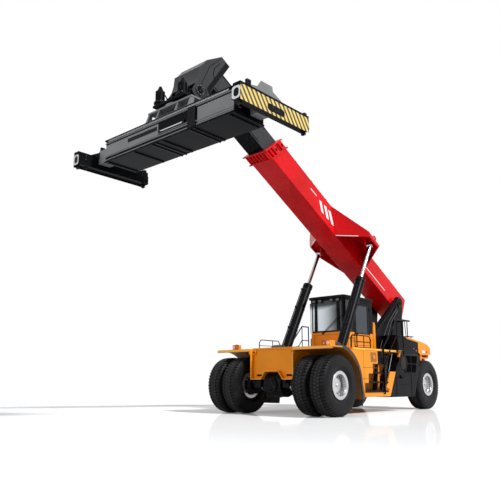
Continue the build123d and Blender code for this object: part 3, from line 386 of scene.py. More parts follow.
class Finishes:
    """Every finish on the machine, built once."""

    def __init__(self) -> None:
        """Build the materials."""
        self.orange = Coat("machine_orange", (0.86, 0.275, 0.004), rough=0.3, coat=0.06, gloss=0.2,
                           dust=0.05).build()
        self.red = Coat("boom_red", (0.66, 0.003, 0.006), rough=0.28, coat=0.03, gloss=0.12, dust=0.01,
                        shift=0.1).build()
        self.black = Coat("frame_black", (0.004, 0.004, 0.0055), rough=0.33, gloss=0.06, dust=0.01).build()
        self.dark = Coat("spreader_grey", (0.006, 0.0065, 0.008), rough=0.34, gloss=0.02, dust=0.01).build()
        # Painted light: a lighter copy of the grey for the inner boom's side faces and the whole boom head.
        self.section = Coat("painted_light_grey", (0.034, 0.035, 0.038), rough=0.36, gloss=0.15, dust=0.02).build()
        self.pale = Coat("plate_grey", (0.19, 0.195, 0.20), rough=0.42, gloss=0.2, dust=0.06).build()
        self.silver = Coat("wheel_silver", (0.62, 0.62, 0.63), rough=0.22, metallic=0.8, dust=0.08,
                           spread=0.1).build()
        self.steel = Coat("bare_steel", (0.48, 0.48, 0.49), rough=0.33, metallic=0.9, dust=0.1,
                          wear=0.0).build()
        self.chrome = Coat("chrome_rod", (0.50, 0.51, 0.53), rough=0.12, metallic=1.0, dust=0.0, wear=0.0,
                           spread=0.04).build()
        self.iron = Coat("axle_iron", (0.005, 0.005, 0.006), rough=0.42, gloss=0.07, bump=0.2, grain=35.0,
                         dust=0.03).build()
        # Painted shade: a near-black finish for the grille's slats and for the sheet behind them.
        self.shade = Coat("grille_black", (0.0012, 0.0012, 0.0015), rough=0.8, gloss=0.02, dust=0.0,
                          wear=0.0).build()
        self.rubber = Coat("moulded_rubber", (0.02, 0.02, 0.021), rough=0.62, bump=0.2, wear=0.0).build()
        self.plastic = Coat("console_plastic", (0.075, 0.075, 0.08), rough=0.55, bump=0.2, grain=160.0,
                            wear=0.0).build()
        self.white = Coat("stripe_white", (0.86, 0.86, 0.87), rough=0.35, coat=0.4, dust=0.05,
                          wear=0.2).build()
        # Painted shade: a darker copy of the orange for the fenders' inner and downward faces, their linings
        # and the side recesses.
        self.shaded_orange = Coat("painted_shade_orange", (0.32, 0.11, 0.01), rough=0.5, dust=0.4).build()
        # Painted highlight: a paler copy of the orange for the thin lips along the front plate, fenders and
        # deck.
        self.lip = Coat("highlight_orange", (0.95, 0.46, 0.035), rough=0.35, coat=0.2, dust=0.06).build()
        self.seam = Coat("seam_brown", (0.16, 0.05, 0.01), rough=0.6, wear=0.0).build()
        self.rust = Coat("red_oxide", (0.35, 0.07, 0.02), rough=0.5, dust=0.2).build()
        self.mirror = Coat("mirror_glass", (0.55, 0.58, 0.62), rough=0.06, metallic=1.0, wear=0.0,
                           spread=0.02).build()
        self.glass = Glazing().build()
        self.lamp = Lens("lamp_lens", (0.85, 0.87, 0.9)).build()
        self.tail = Lens("tail_lens", (0.6, 0.03, 0.02)).build()
        self.amber = Lens("amber_lens", (0.9, 0.35, 0.03)).build()
        self.hazard = HazardStripes().build()
        self.tyre = TyreRubber().build()
        self.cloth = SeatCloth().build()


# ---- meshes ------------------------------------------------------------------------------------
SMOOTH_ANGLE = math.radians(32)
BEVEL_ANGLE = math.radians(40)
TINY = 1e-6


def turns(steps: int) -> list[float]:
    """Angles evenly round a circle."""
    return [TURN * k / steps for k in range(steps)]


def lifted(outline: Line, axis: Axis, level: float) -> list[Point]:
    """Points in the two other axes, in X, Y, Z order, put at a level of an axis."""
    return [(*p[:axis.value], level, *p[axis.value:]) for p in outline]


def arc(centre: Point, radius: float, start: float, end: float, steps: int) -> list[Point]:
    """Points of an arc, its angles in degrees."""
    angles = [math.radians(start + (end - start) * k / steps) for k in range(steps + 1)]
    return [(centre[0] + radius * math.cos(a), centre[1] + radius * math.sin(a)) for a in angles]


def rounded_box(low: Point, high: Point, radius: float) -> list[Point]:
    """The outline of a rectangle with round corners."""
    (a, b), (c, d), r = low, high, radius
    corners = (((c - r, d - r), 0), ((a + r, d - r), 90), ((a + r, b + r), 180), ((c - r, b + r), 270))
    return [p for centre, start in corners for p in arc(centre, r, start, start + 90, 4)]


def polar(centre: Point, radius: float, angle: float, out: float) -> Point:
    """A point round an axle, some way out along it."""
    return centre[0] + radius * math.cos(angle), centre[1] + out, centre[2] + radius * math.sin(angle)


@dataclass
class Shape:
    """One piece: its faces, mirrored to its sides of the machine, and what it is made into."""

    name: str = ""
    finish: Optional[Material] = None
    bevel: float = 0.0
    body: str = Body.CHASSIS
    at: Matrix = field(default_factory=Matrix)
    sides: Sequence[int] = (1,)
    mesh: bmesh.types.BMesh = field(default_factory=bmesh.new)

    def skin(self, rings: Sequence[Line], wrap: bool = False, sides: Sequence[int] = ()) -> "Shape":
        """Add faces from ring to ring.

        Args:
            rings: Rings of points, all as long as each other or single points.
            wrap: Whether the last ring meets the first; open ends are closed otherwise.
            sides: The sides to mirror it to, where they are not the shape's own.

        Returns:
            The shape itself.
        """
        for side in sides or self.sides:
            made = [[self.mesh.verts.new((p[0], p[1] * side, p[2])) for p in ring] for ring in rings]
            ends = () if wrap else (made[0], made[-1])
            faces = [self.mesh.faces.new(ring) for ring in ends if len(ring) > 2]
            for a, b in zip(made, made[1:] + made[:1] if wrap else made[1:]):
                for k in range(max(len(a), len(b))):
                    m = k + 1
                    corners = dict.fromkeys((a[k % len(a)], a[m % len(a)], b[m % len(b)], b[k % len(b)]))
                    if len(corners) > 2:
                        faces.append(self.mesh.faces.new(list(corners)))
            bmesh.ops.recalc_face_normals(self.mesh, faces=faces)
        return self

    def prism(self, outline: Line, axis: Axis, start: float, end: float) -> "Shape":
        """Add a plate between two levels of an axis."""
        return self.skin([lifted(outline, axis, level) for level in (start, end)])

    def block(self, low: Point, high: Point) -> "Shape":
        """Add a box between two corners."""
        (a, b, c), (d, e, g) = low, high
        return self.prism([(a, b), (d, b), (d, e), (a, e)], Z, c, g)

    def ring_plate(self, outer: Line, inner: Line, axis: Axis, start: float, end: float) -> "Shape":
        """Add a plate with a hole; both outlines have as many points as each other."""
        loops = ((outer, start), (outer, end), (inner, end), (inner, start))
        return self.skin([lifted(outline, axis, level) for outline, level in loops], wrap=True)

    def tube(self, points: Line, radius: float, steps: int = 12) -> "Shape":
        """Add a round bar through points, mitred at each bend."""
        for side in self.sides:
            path = [Vector((x, y * side, z)) for x, y, z in points]
            rings, across = [], None
            for i, p in enumerate(path):
                before = (p - path[i - 1]).normalized() if i else (path[1] - p).normalized()
                after = (path[i + 1] - p).normalized() if i < len(path) - 1 else before
                way = (before + after).normalized()
                across = (way.orthogonal() if across is None else across - way * across.dot(way)).normalized()
                other = way.cross(across)
                reach = radius * (0.5 + 0.5 / max(0.5, way.dot(before)) if 0 < i < len(path) - 1 else 1.0)
                rings.append([p + (across * math.cos(t) + other * math.sin(t)) * reach for t in turns(steps)])
            self.skin(rings, sides=(1,))
        return self

    def bent(self, y: float, points: Line, radius: float, steps: int = 12) -> "Shape":
        """Add a round bar through (x, z) points at one y."""
        return self.tube(lifted(points, Y, y), radius, steps)

    def turned(self, profile: Line, centre: Point, axis: Axis, steps: int = 48) -> "Shape":
        """Add a turned piece.

        Args:
            profile: (radius, distance along the axis) points, closed on the axis or on itself.
            centre: A point of the axis, where distance is 0.
            axis: The axis it is turned about.
            steps: Steps round it.

        Returns:
            The shape itself.
        """
        rings = []
        for radius, along in profile:
            angles = turns(steps if radius > TINY else 1)
            spots = [(radius * math.cos(t), radius * math.sin(t)) for t in angles]
            rings.append([[a + b for a, b in zip(p, centre)] for p in lifted(spots, axis, along)])
        return self.skin(rings, wrap=profile[0][0] > TINY)

    def disc(self, centre: Point, axis: Axis, radius: float, height: float, steps: int = 24,
             top: Optional[float] = None) -> "Shape":
        """Add a disc that stands out along an axis and may narrow to another radius."""
        return self.turned([(0, height), (top or radius, height), (radius, 0), (0, 0)], centre, axis, steps)

    def collar(self, centre: Point, axis: Axis, radii: Point, start: float, end: float,
               steps: int = 24) -> "Shape":
        """Add a round collar between two radii and two levels."""
        profile = [(radii[0], start), (radii[1], start), (radii[1], end), (radii[0], end)]
        return self.turned(profile, centre, axis, steps)

    def repeat(self, seed: "Shape", kind: "Repeat", count: int, step: Point,
               point: Point = (0, 0, 0)) -> "Shape":
        """Add copies of another shape, in a row or round a ring."""
        self.mesh.from_mesh(repeated(seed, kind, count, step, self.finish, point))
        return self

    def row(self, low: Point, high: Point, count: int, step: Point) -> "Shape":
        """Add a row of equal boxes."""
        return self.repeat(Shape(sides=self.sides).block(low, high), Repeat.ROW, count, step)

    def bolts(self, centre: Point, radius: float, count: int, axis: Axis, size: float, height: float,
              way: int = 1) -> "Shape":
        """Add nuts evenly round an axis.

        Args:
            centre: The ring's middle.
            radius: The ring's radius.
            count: How many nuts.
            axis: The axis they stand along.
            size: A nut's radius.
            height: A nut's height.
            way: Which way they stand out, 1 or -1.

        Returns:
            The shape itself.
        """
        for side in self.sides:
            middle = (centre[0], centre[1] * side, centre[2])
            first, turn = list(middle), [0.0, 0.0, 0.0]
            first[0 if axis is Z else 2] += radius
            turn[axis.value] = TURN / count
            seed = nut(first, axis, height * way * (side if axis is Y else 1), size)
            self.repeat(seed, Repeat.RING, count, turn, middle)
        return self

    def data(self, name: str) -> bpy.types.Mesh:
        """The shape as a plain mesh; this uses it up."""
        made = bpy.data.meshes.new(name)
        self.mesh.normal_update()
        self.mesh.to_mesh(made)
        self.mesh.free()
        return made

    def piece(self) -> bpy.types.Object:
        """Finish the shape as an object that rides on its body."""
        bmesh.ops.transform(self.mesh, matrix=TO_FRAME @ self.at, verts=self.mesh.verts)
        data = self.data(self.name)
        data.materials.clear()
        data.materials.append(self.finish)
        data.polygons.foreach_set("material_index", [0] * len(data.polygons))
        made = as_piece(self.name, data, self.body, self.bevel)
        return made


def nut(centre: Point, axis: Axis, height: float, size: float) -> Shape:
    """A nut with a stud's end, standing out of a face."""
    hexagon = [(0, height * 0.8), (size * 0.8, height * 0.8), (size, height * 0.6), (size, 0), (0, 0)]
    return Shape().turned(hexagon, centre, axis, 6).disc(centre, axis, size * 0.45, height * 1.25, 8)


def as_piece(name: str, data: bpy.types.Mesh, body: str, bevel: float = 0.0) -> bpy.types.Object:
    """Make a mesh that is in the frame into an object that rides on a body.

    Args:
        name: The piece's name.
        data: Its mesh.
        body: The body that it rides on.
        bevel: Width of its softened edges, in metres; 0 leaves them sharp.

    Returns:
        The new object.
    """
    data.shade_smooth()
    data.set_sharp_from_angle(angle=SMOOTH_ANGLE)
    made = bpy.data.objects.new(name, data)
    bpy.context.scene.collection.objects.link(made)
    if bevel:
        softened = made.modifiers.new("softened_edges", "BEVEL")
        softened.width = bevel
        softened.segments = 2
        softened.limit_method = "ANGLE"
        softened.angle_limit = BEVEL_ANGLE
        softened.harden_normals = False
    body = getattr(body, "value", body)
    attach(made, body)
    LOG.info("%s on %s", name, body)
    return made


def refined(name: str, finishes: Sequence[Material], bevel: float = 0.006,
            pick: Callable[[Vector, Vector], int] = lambda at, way: 0, shrink: float = 0.0,
            split: Optional[tuple[Point, Point]] = None) -> None:
    """Stand a cleaned, softened copy of a CAD node in for it.

    Args:
        name: The node.
        finishes: Its materials.
        bevel: Width of its softened edges.
        pick: Gives the index of a face's material from its middle and its normal.
        shrink: How far every face of its box moves in.
        split: A point and a normal of a plane that divides its faces.
    """
    source = frame["nodes"][name]
    work = bmesh.new()
    work.from_mesh(source.data)
    bmesh.ops.transform(work, matrix=source.matrix_world, verts=work.verts)
    bmesh.ops.remove_doubles(work, verts=work.verts, dist=2e-5)
    bmesh.ops.dissolve_limit(work, angle_limit=math.radians(0.6), verts=work.verts, edges=work.edges)
    if shrink:
        low, high = (Vector(corner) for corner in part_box(name))
        for vertex in work.verts:
            for i, span in enumerate(high - low):
                vertex.co[i] = low[i] + shrink + (vertex.co[i] - low[i]) * (span - 2 * shrink) / span
    if split:
        bmesh.ops.bisect_plane(work, geom=[*work.verts, *work.edges, *work.faces],
                               plane_co=TO_FRAME @ Vector(split[0]), plane_no=split[1])
    for face in work.faces:
        face.material_index = pick(face.calc_center_median() - TO_FRAME.translation, face.normal)
    data = bpy.data.meshes.new(f"{name}_finished")
    work.to_mesh(data)
    work.free()
    carried = data.attributes.get("custom_normal")
    if carried:
        data.attributes.remove(carried)
    for finish in finishes:
        data.materials.append(finish)
    made = as_piece(f"{name}_finished", data, BODY_OF[name], bevel)
    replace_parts(made, name)


# ---- repeats by geometry nodes -----------------------------------------------------------------
class Repeat(Enum):
    """How a geometry tree lays out its copies."""

    ROW = "row"
    RING = "ring"


def repeat_tree(kind: Repeat) -> Tree:
    """Build the tree that copies the incoming mesh along a row or round a ring.

    Args:
        kind: Row or ring.

    Returns:
        A tree with the inputs Geometry, Count, Step, Axis Point and Finish.
    """
    tree = bpy.data.node_groups.new(f"repeat_{kind.value}", "GeometryNodeTree")
    for label, sort in (("Geometry", "Geometry"), ("Count", "Int"), ("Step", "Vector"),
                        ("Axis Point", "Vector"), ("Finish", "Material")):
        tree.interface.new_socket(label, in_out="INPUT", socket_type=f"NodeSocket{sort}")
    tree.interface.new_socket("Geometry", in_out="OUTPUT", socket_type="NodeSocketGeometry")
    given = node(tree, "NodeGroupInput").outputs
    points = node(tree, "GeometryNodePoints", {"Count": given["Count"]}).outputs[0]
    index = node(tree, "GeometryNodeInputIndex").outputs[0]
    scaled = node(tree, "ShaderNodeVectorMath", {0: given["Step"], "Scale": index},
                  operation="SCALE").outputs[0]
    if kind is Repeat.ROW:
        points = node(tree, "GeometryNodeSetPosition", {"Geometry": points, "Position": scaled}).outputs[0]
    laid = node(tree, "GeometryNodeInstanceOnPoints",
                {"Points": points, "Instance": given["Geometry"]}).outputs[0]
    if kind is Repeat.RING:
        laid = node(tree, "GeometryNodeRotateInstances",
                    {"Instances": laid, "Rotation": scaled, "Pivot Point": given["Axis Point"],
                     "Local Space": False}).outputs[0]
    real = node(tree, "GeometryNodeRealizeInstances", {0: laid}).outputs[0]
    painted = node(tree, "GeometryNodeSetMaterial",
                   {"Geometry": real, "Material": given["Finish"]}).outputs[0]
    node(tree, "NodeGroupOutput", {0: painted})
    return tree


TREES = {kind: repeat_tree(kind) for kind in Repeat}


def repeated(seed: Shape, kind: Repeat, count: int, step: Point, finish: Material,
             point: Point) -> bpy.types.Mesh:
    """Copy a shape in a row or round a ring.

    Args:
        seed: The first copy, in place. It is used up.
        kind: Row or ring.
        count: How many copies.
        step: The offset, or the turn in radians, from one copy to the next.
        finish: Their material.
        point: A point of the ring's axis.

    Returns:
        One plain mesh that holds every copy.
    """
    carrier = bpy.data.objects.new("carrier", seed.data("seed"))
    bpy.context.scene.collection.objects.link(carrier)
    modifier = carrier.modifiers.new("repeat", "NODES")
    modifier.node_group = TREES[kind]
    values = {"Count": count, "Step": tuple(step), "Axis Point": tuple(point), "Finish": finish}
    for item in TREES[kind].interface.items_tree:
        if item.item_type == "SOCKET" and item.in_out == "INPUT" and item.name in values:
            modifier[item.identifier] = values[item.name]
    graph = bpy.context.evaluated_depsgraph_get()
    made = bpy.data.meshes.new_from_object(carrier.evaluated_get(graph))
    carrier.modifiers.remove(modifier)
    bpy.data.objects.remove(carrier)
    return made


# ---- assemblies --------------------------------------------------------------------------------
@dataclass
class Assembly:
    """Part of the machine that is dressed in one go."""

    finish: Finishes
    started: list[Shape] = field(default_factory=list, init=False)

    def start(self, name: str, finish: Material, bevel: float = 0.0, **options: object) -> Shape:
        """Start a piece; the options are other fields of Shape."""
        self.started.append(Shape(name, finish, bevel, **options))
        return self.started[-1]

    def pair(self, name: str, finish: Material, bevel: float = 0.0, **options: object) -> Shape:
        """Start a piece that is the same on both sides of the machine."""
        return self.start(name, finish, bevel, sides=BOTH, **options)

    def build(self) -> None:
        """Start and shape every piece."""
        raise NotImplementedError

    def done(self) -> None:
        """Finish every piece that is not finished yet."""
        for shape in self.started:
            if shape.mesh.is_valid:
                shape.piece()


@dataclass
class Wheels(Assembly):
    """Tyres with tread blocks, and the rims' nuts and caps."""

    half: float = 0.249
    height: float = 0.8075
    lugs: int = 54
    skew: float = 2.6
    twin_y: tuple[float, float] = (1.266, 1.851)
    rear_x: float = -6.02
    rear_y: float = 1.38
    lip: float = 0.2085
    sipe_r: float = 0.8078
    wall: tuple[Point, ...] = (
        (0.318, 0.179), (0.388, 0.187), (0.402, 0.199), (0.414, 0.199), (0.424, 0.205), (0.46, 0.2265),
        (0.503, 0.2415), (0.506, 0.2455), (0.516, 0.247), (0.519, 0.246), (0.5475, 0.249), (0.60, 0.2485),
        (0.652, 0.2445), (0.655, 0.248), (0.668, 0.246), (0.671, 0.2415), (0.70, 0.2365), (0.7325, 0.227),
        (0.757, 0.213), (0.770, 0.196), (0.776, 0.150), (0.776, 0.106), (0.8055, 0.098), (0.8072, 0.0))
    crown: tuple[Point, ...] = ((0.112, 0.8055), (0.165, 0.8012), (0.203, 0.7915), (0.2245, 0.765),
                                (0.2295, 0.728))
    root: tuple[Point, ...] = ((0.112, 0.766), (0.165, 0.764), (0.195, 0.756), (0.208, 0.738), (0.216, 0.720))

    def lug(self, centre: Point, side: int, start: float) -> Shape:
        """One tread block, from the middle rib over the shoulder, at an angle in degrees."""
        rows = []
        for (y, r), (low_y, low_r) in zip(self.crown, self.root):
            angle = math.radians(start + self.skew * y / self.half)
            width = math.radians(2.75 - 0.5 * y / self.half)
            spots = ((-1, low_r, low_y), (-0.93, r, y), (0, r, y), (0.93, r, y), (1, low_r, low_y))
            rows.append([polar(centre, reach, angle + width * part, side * out)
                         for part, reach, out in spots])
        return Shape().skin(rows)

    def tread(self, tyre: Shape, sipes: Shape, centre: Point) -> None:
        """Add one tyre's walls and tread blocks, and thin dark sheets of painted shade where its middle rib
        has slots.
        """
        tyre.turned([*self.wall, *((r, -y) for r, y in reversed(self.wall[:-1]))], centre, Y, 96)
        turn = (0.0, TURN / self.lugs, 0.0)
        corners = ((-0.012, 0.030), (0.004, 0.030), (0.014, 0.082), (-0.002, 0.082))
        for side, start, slot_start in ((1, 0.0, 0.0), (-1, 180.0 / self.lugs, 3.3)):
            tyre.repeat(self.lug(centre, side, start), Repeat.RING, self.lugs, turn, centre)
            # Painted shade: thin dark sheets over the middle rib stand for its slots.
            slot = [[polar(centre, reach, math.radians(slot_start) + angle, side * y) for angle, y in corners]
                    for reach in (self.sipe_r, self.sipe_r * 0.996)]
            sipes.repeat(Shape().skin(slot), Repeat.RING, self.lugs, turn, centre)

    def hub(self, name: str, body: str, centre: Point, side: int, radii: Point, faces: Point,
            holes: Point) -> None:
        """Nuts, cap and lock ring of one wheel.

        Args:
            name: Start of the pieces' names.
            body: The wheel's body.
            centre: The outer tyre's middle, at the machine's left.
            side: Which way the wheel faces.
            radii: Radius of the nut ring and of the cap's bolts.
            faces: How far out of the middle the nuts' face and the cap's face are.
            holes: Radius of the ring of hand holes and how far out of the middle they are.
        """
        f = self.finish
        x, y, z = centre
        nut_face, cap_face = (x, y + faces[0], z), (x, y + faces[1], z)

        def begin(tag: str, finish: Material) -> Shape:
            """Start one of the hub's pieces."""
            return self.start(f"{name}_{tag}", finish, body=body, sides=(side,))

        nuts = begin("nuts", f.silver).bolts(nut_face, radii[0], 20, Y, 0.017, 0.028)
        nuts.bolts(cap_face, radii[1], 10, Y, 0.009, 0.010)
        # Painted shade: dark discs stand for the rim's hand holes.
        begin("holes", f.rubber).bolts((x, y + holes[1], z), holes[0], 20, Y, 0.017, 0.004)
        begin("flange", f.silver).turned([(0.10, 0.004), (0.165, 0.004), (0.182, -0.006), (0.186, -0.03),
                                          (0.178, -0.055), (0.13, -0.055), (0.10, -0.02)], cap_face, Y)
        # Painted shade: a dark ring stands for the gap round the nut ring.
        begin("gap", f.rubber).collar(nut_face, Y, (0.206, 0.234), 0.0, 0.003, 48)
        dome = [(0, 0.028), (0.03, 0.026), (0.047, 0.014), (0.052, 0), (0, 0)]
        begin("cap", f.steel).turned(dome, cap_face, Y, 32)
        ring = [(0.334, 0), (0.371, 0), (0.373, 0.007), (0.362, 0.013), (0.343, 0.010)]
        begin("lock_ring", f.silver).turned(ring, (x, y + self.lip, z), Y, 72)
        u, v, w = x + 0.20, nut_face[1], z + 0.21
        begin("valve", f.black).tube([(u, v, w), (u, v + 0.05, w), (u + 0.02, v + 0.075, w + 0.02)], 0.007, 8)

    def build(self) -> None:
        """Build the tyres and dress the hubs."""
        kinds = (("front_wheels", "front_tyres", "twin_tyres", "twin_sipes", "drive_hub", 0.0, self.twin_y,
                  (0.256, 0.095), (0.019, 0.105), (0.293, 0.0195)),
                 ("rear_wheel", "rear_tyre", "steered_tyre", "steered_sipes", "steer_hub", self.rear_x,
                  (self.rear_y,), (0.225, 0.09), (0.092, 0.115), (0.270, 0.104)))
        for label, side in SIDES:
            for wheel, old, tyre_name, sipe_name, hub_name, x, stations, *sizes in kinds:
                body = f"{wheel}_{label}"
                tyre = self.start(f"{tyre_name}_{label}", self.finish.tyre, body=body)
                sipes = self.start(f"{sipe_name}_{label}", self.finish.rubber, body=body)
                for y in stations:
                    self.tread(tyre, sipes, (x, side * y, self.height))
                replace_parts(tyre.piece(), f"{old}_{label}")
                self.hub(f"{hub_name}_{label}", body, (x, stations[-1], self.height), side, *sizes)


@dataclass
class Axles(Assembly):
    """Bolts, covers and brake lines of the axles."""

    axle_z: float = 0.8075

    def build(self) -> None:
        """Dress both axles."""
        f = self.finish
        middle = (0.38, 0.0, self.axle_z)
        cover = [(0, 0.052), (0.07, 0.045), (0.13, 0.026), (0.158, 0), (0, 0)]
        self.start("differential_cover", f.black).turned(cover, middle, X)
        bolts = self.start("axle_bolts", f.iron).bolts(middle, 0.178, 16, X, 0.010, 0.012)
        for side in BOTH:
            bolts.bolts((0.0, side * 0.30, self.axle_z), 0.24, 20, Y, 0.012, 0.014, side)
        pots = self.pair("brake_pots", f.iron, 0.008).block((0.22, 0.40, 0.74), (0.34, 0.50, 0.955))
        pots.turned([(0, 0.05), (0.07, 0.045), (0.075, 0), (0, 0)], (0.30, 0.56, 0.80), X, 24)
        lines = self.pair("brake_lines", f.rubber)
        lines.tube([(0.2, 0.55, 0.965), (0.22, 0.6, 0.9), (0.19, 0.78, 0.86), (0.12, 0.88, 0.95)], 0.011)
        lines.tube([(-0.18, 0.3, 0.97), (-0.2, 0.45, 0.93), (-0.16, 0.85, 0.9)], 0.009)
        clamps = self.pair("line_clamps", f.steel).block((-0.06, 0.5, 0.95), (0.06, 0.54, 0.965))
        clamps.collar((0, 0.52, self.axle_z), Y, (0.149, 0.162), -0.02, 0.02, 32)
        self.pair("steering_hoses", f.rubber).tube(
            [(-6.22, 0.24, 0.9), (-6.2, 0.25, 1.0), (-6.05, 0.26, 1.06), (-5.9, 0.28, 1.09)], 0.013)
        self.pair("kingpin_bolts", f.iron).bolts((-6.02, 1.04, 1.005), 0.055, 6, Z, 0.009, 0.01)


@dataclass
class FrontEnd(Assembly):
    """Front plate, fenders with their edging, and the lamps on them."""

    face_x: float = 0.23
    arch_r: float = 1.03
    axle_z: float = 0.8075
    outer_y: float = 2.09
    edge: tuple[Point, ...] = ((-0.775, 0.961), (-0.392, 0.961), (-0.243, 1.181), (0.243, 1.181),
                               (0.392, 0.961), (0.775, 0.961))

    def arch(self, grow: float) -> list[Point]:
        """The fender's edge from its flat top down to its foot, moved out by some distance."""
        return arc((0.0, self.axle_z), self.arch_r + grow, 97, 176, 22) + [(-1.112 - grow, 0.43)]

    def build(self) -> None:
        """Dress the front plate and the fenders."""
        f = self.finish
        eye = (self.face_x, 0.705, 1.725)
        self.pair("front_ears", f.orange, 0.004).collar(eye, X, (0.034, 0.072), -0.005, 0.05, 28)
        # Painted shade: black discs fill the ears' holes and a black block stands for a slot.
        slots = self.pair("front_slots", f.black).disc(eye, X, 0.034, 0.012, 20)
        slots.block((0.17, 0.43, 1.035), (0.198, 0.65, 1.12))
        bolts = self.pair("front_bolts", f.steel)
        for z in (1.2, 1.45):
            bolts.disc((self.face_x, 0.70, z), X, 0.016, 0.012, 6, 0.014)
        ears = self.pair("front_side_ears", f.orange, 0.004)
        ears.collar((0.31, 0.80, 1.725), Y, (0.03, 0.075), -0.012, 0.012)
        # Painted highlight: the front plate's edge lips are the paler orange.
        trim, level = self.start("front_lip_highlights", f.lip, 0.001), (0.3495, 0.3535)
        for side in BOTH:
            trim.block((level[0], side * 0.759, 0.965), (level[1], side * 0.779, 1.785))
        for a, b in zip(self.edge, self.edge[1:]):
            trim.prism([a, b, (b[0], b[1] + 0.018), (a[0], a[1] + 0.018)], X, *level)
        out = self.outer_y
        edging = self.pair("fender_edging", f.rubber).bent(out, [(0.37, 1.79), (-0.12, 1.79)], 0.012, 8)
        edging.prism(self.arch(0.03) + self.arch(-0.052)[::-1], Y, out - 0.012, out + 0.008)
        self.pair("mudflaps", f.rubber, 0.004).prism(
            [(-1.108, 0.62), (-1.088, 0.62), (-1.03, 0.26), (-1.05, 0.26)], Y, 0.84, 2.08)
        boots = self.pair("cylinder_boots", f.rubber, 0.02)
        boots.prism(arc((-1.27, 1.78), 0.25, 12, 168, 14), Y, 0.86, 1.20)
        # Painted highlight: the fenders' front lips are the paler orange.
        self.pair("fender_lip_highlights", f.lip, 0.001).block((0.381, 0.80, 1.765), (0.386, 2.075, 1.822))
        # Painted shade: the linings inside the arches are the darker orange.
        linings = self.pair("fender_linings", f.shaded_orange)
        linings.prism(self.arch(-0.045) + self.arch(-0.052)[::-1], Y, 0.80, 2.06)
        self.pair("fender_grip", f.rubber).block((-0.02, 0.9, 1.83), (0.32, 1.5, 1.8335))
        grip = self.pair("fender_grip_ribs", f.rubber)
        grip.row((0.0, 0.92, 1.833), (0.008, 1.48, 1.8365), 18, (0.0175, 0, 0))
        self.lamps()

    def lamps(self) -> None:
        """The lamp brackets on the fenders."""
        f = self.finish
        y, z = 1.595, 1.92
        hole = arc((y, z), 0.03, 0, 345, 23)
        line = []
        for across, up in ((a - y, b - z) for a, b in hole):
            reach = min(0.065 / max(abs(across), TINY), 0.078 / max(abs(up), TINY))
            line.append((y + across * reach, z + up * reach))
        plates = self.pair("lamp_plates", f.rust, 0.002).ring_plate(line, hole, X, 0.035, 0.055)
        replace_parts(plates.block((-0.20, 1.53, 1.828), (0.035, 1.66, 1.84)).piece(), "front_lamps")
        boxes = self.start("lamp_boxes", f.orange, 0.012)
        for side, inner in ((1, 1.53), (-1, -1.66)):
            boxes.block((-0.22, side * 1.665, 1.84), (0.04, side * 1.785, 1.995))
            boxes.prism([(-0.22, 1.83), (0.04, 1.83), (-0.02, 1.98), (-0.20, 1.98)], Y, inner, inner + 0.006)
        glass = self.pair("lamp_glass", f.lamp)
        glass.turned([(0, 0.014), (0.035, 0.011), (0.046, 0.0), (0, 0)], (0.04, 1.725, z), X, 24)


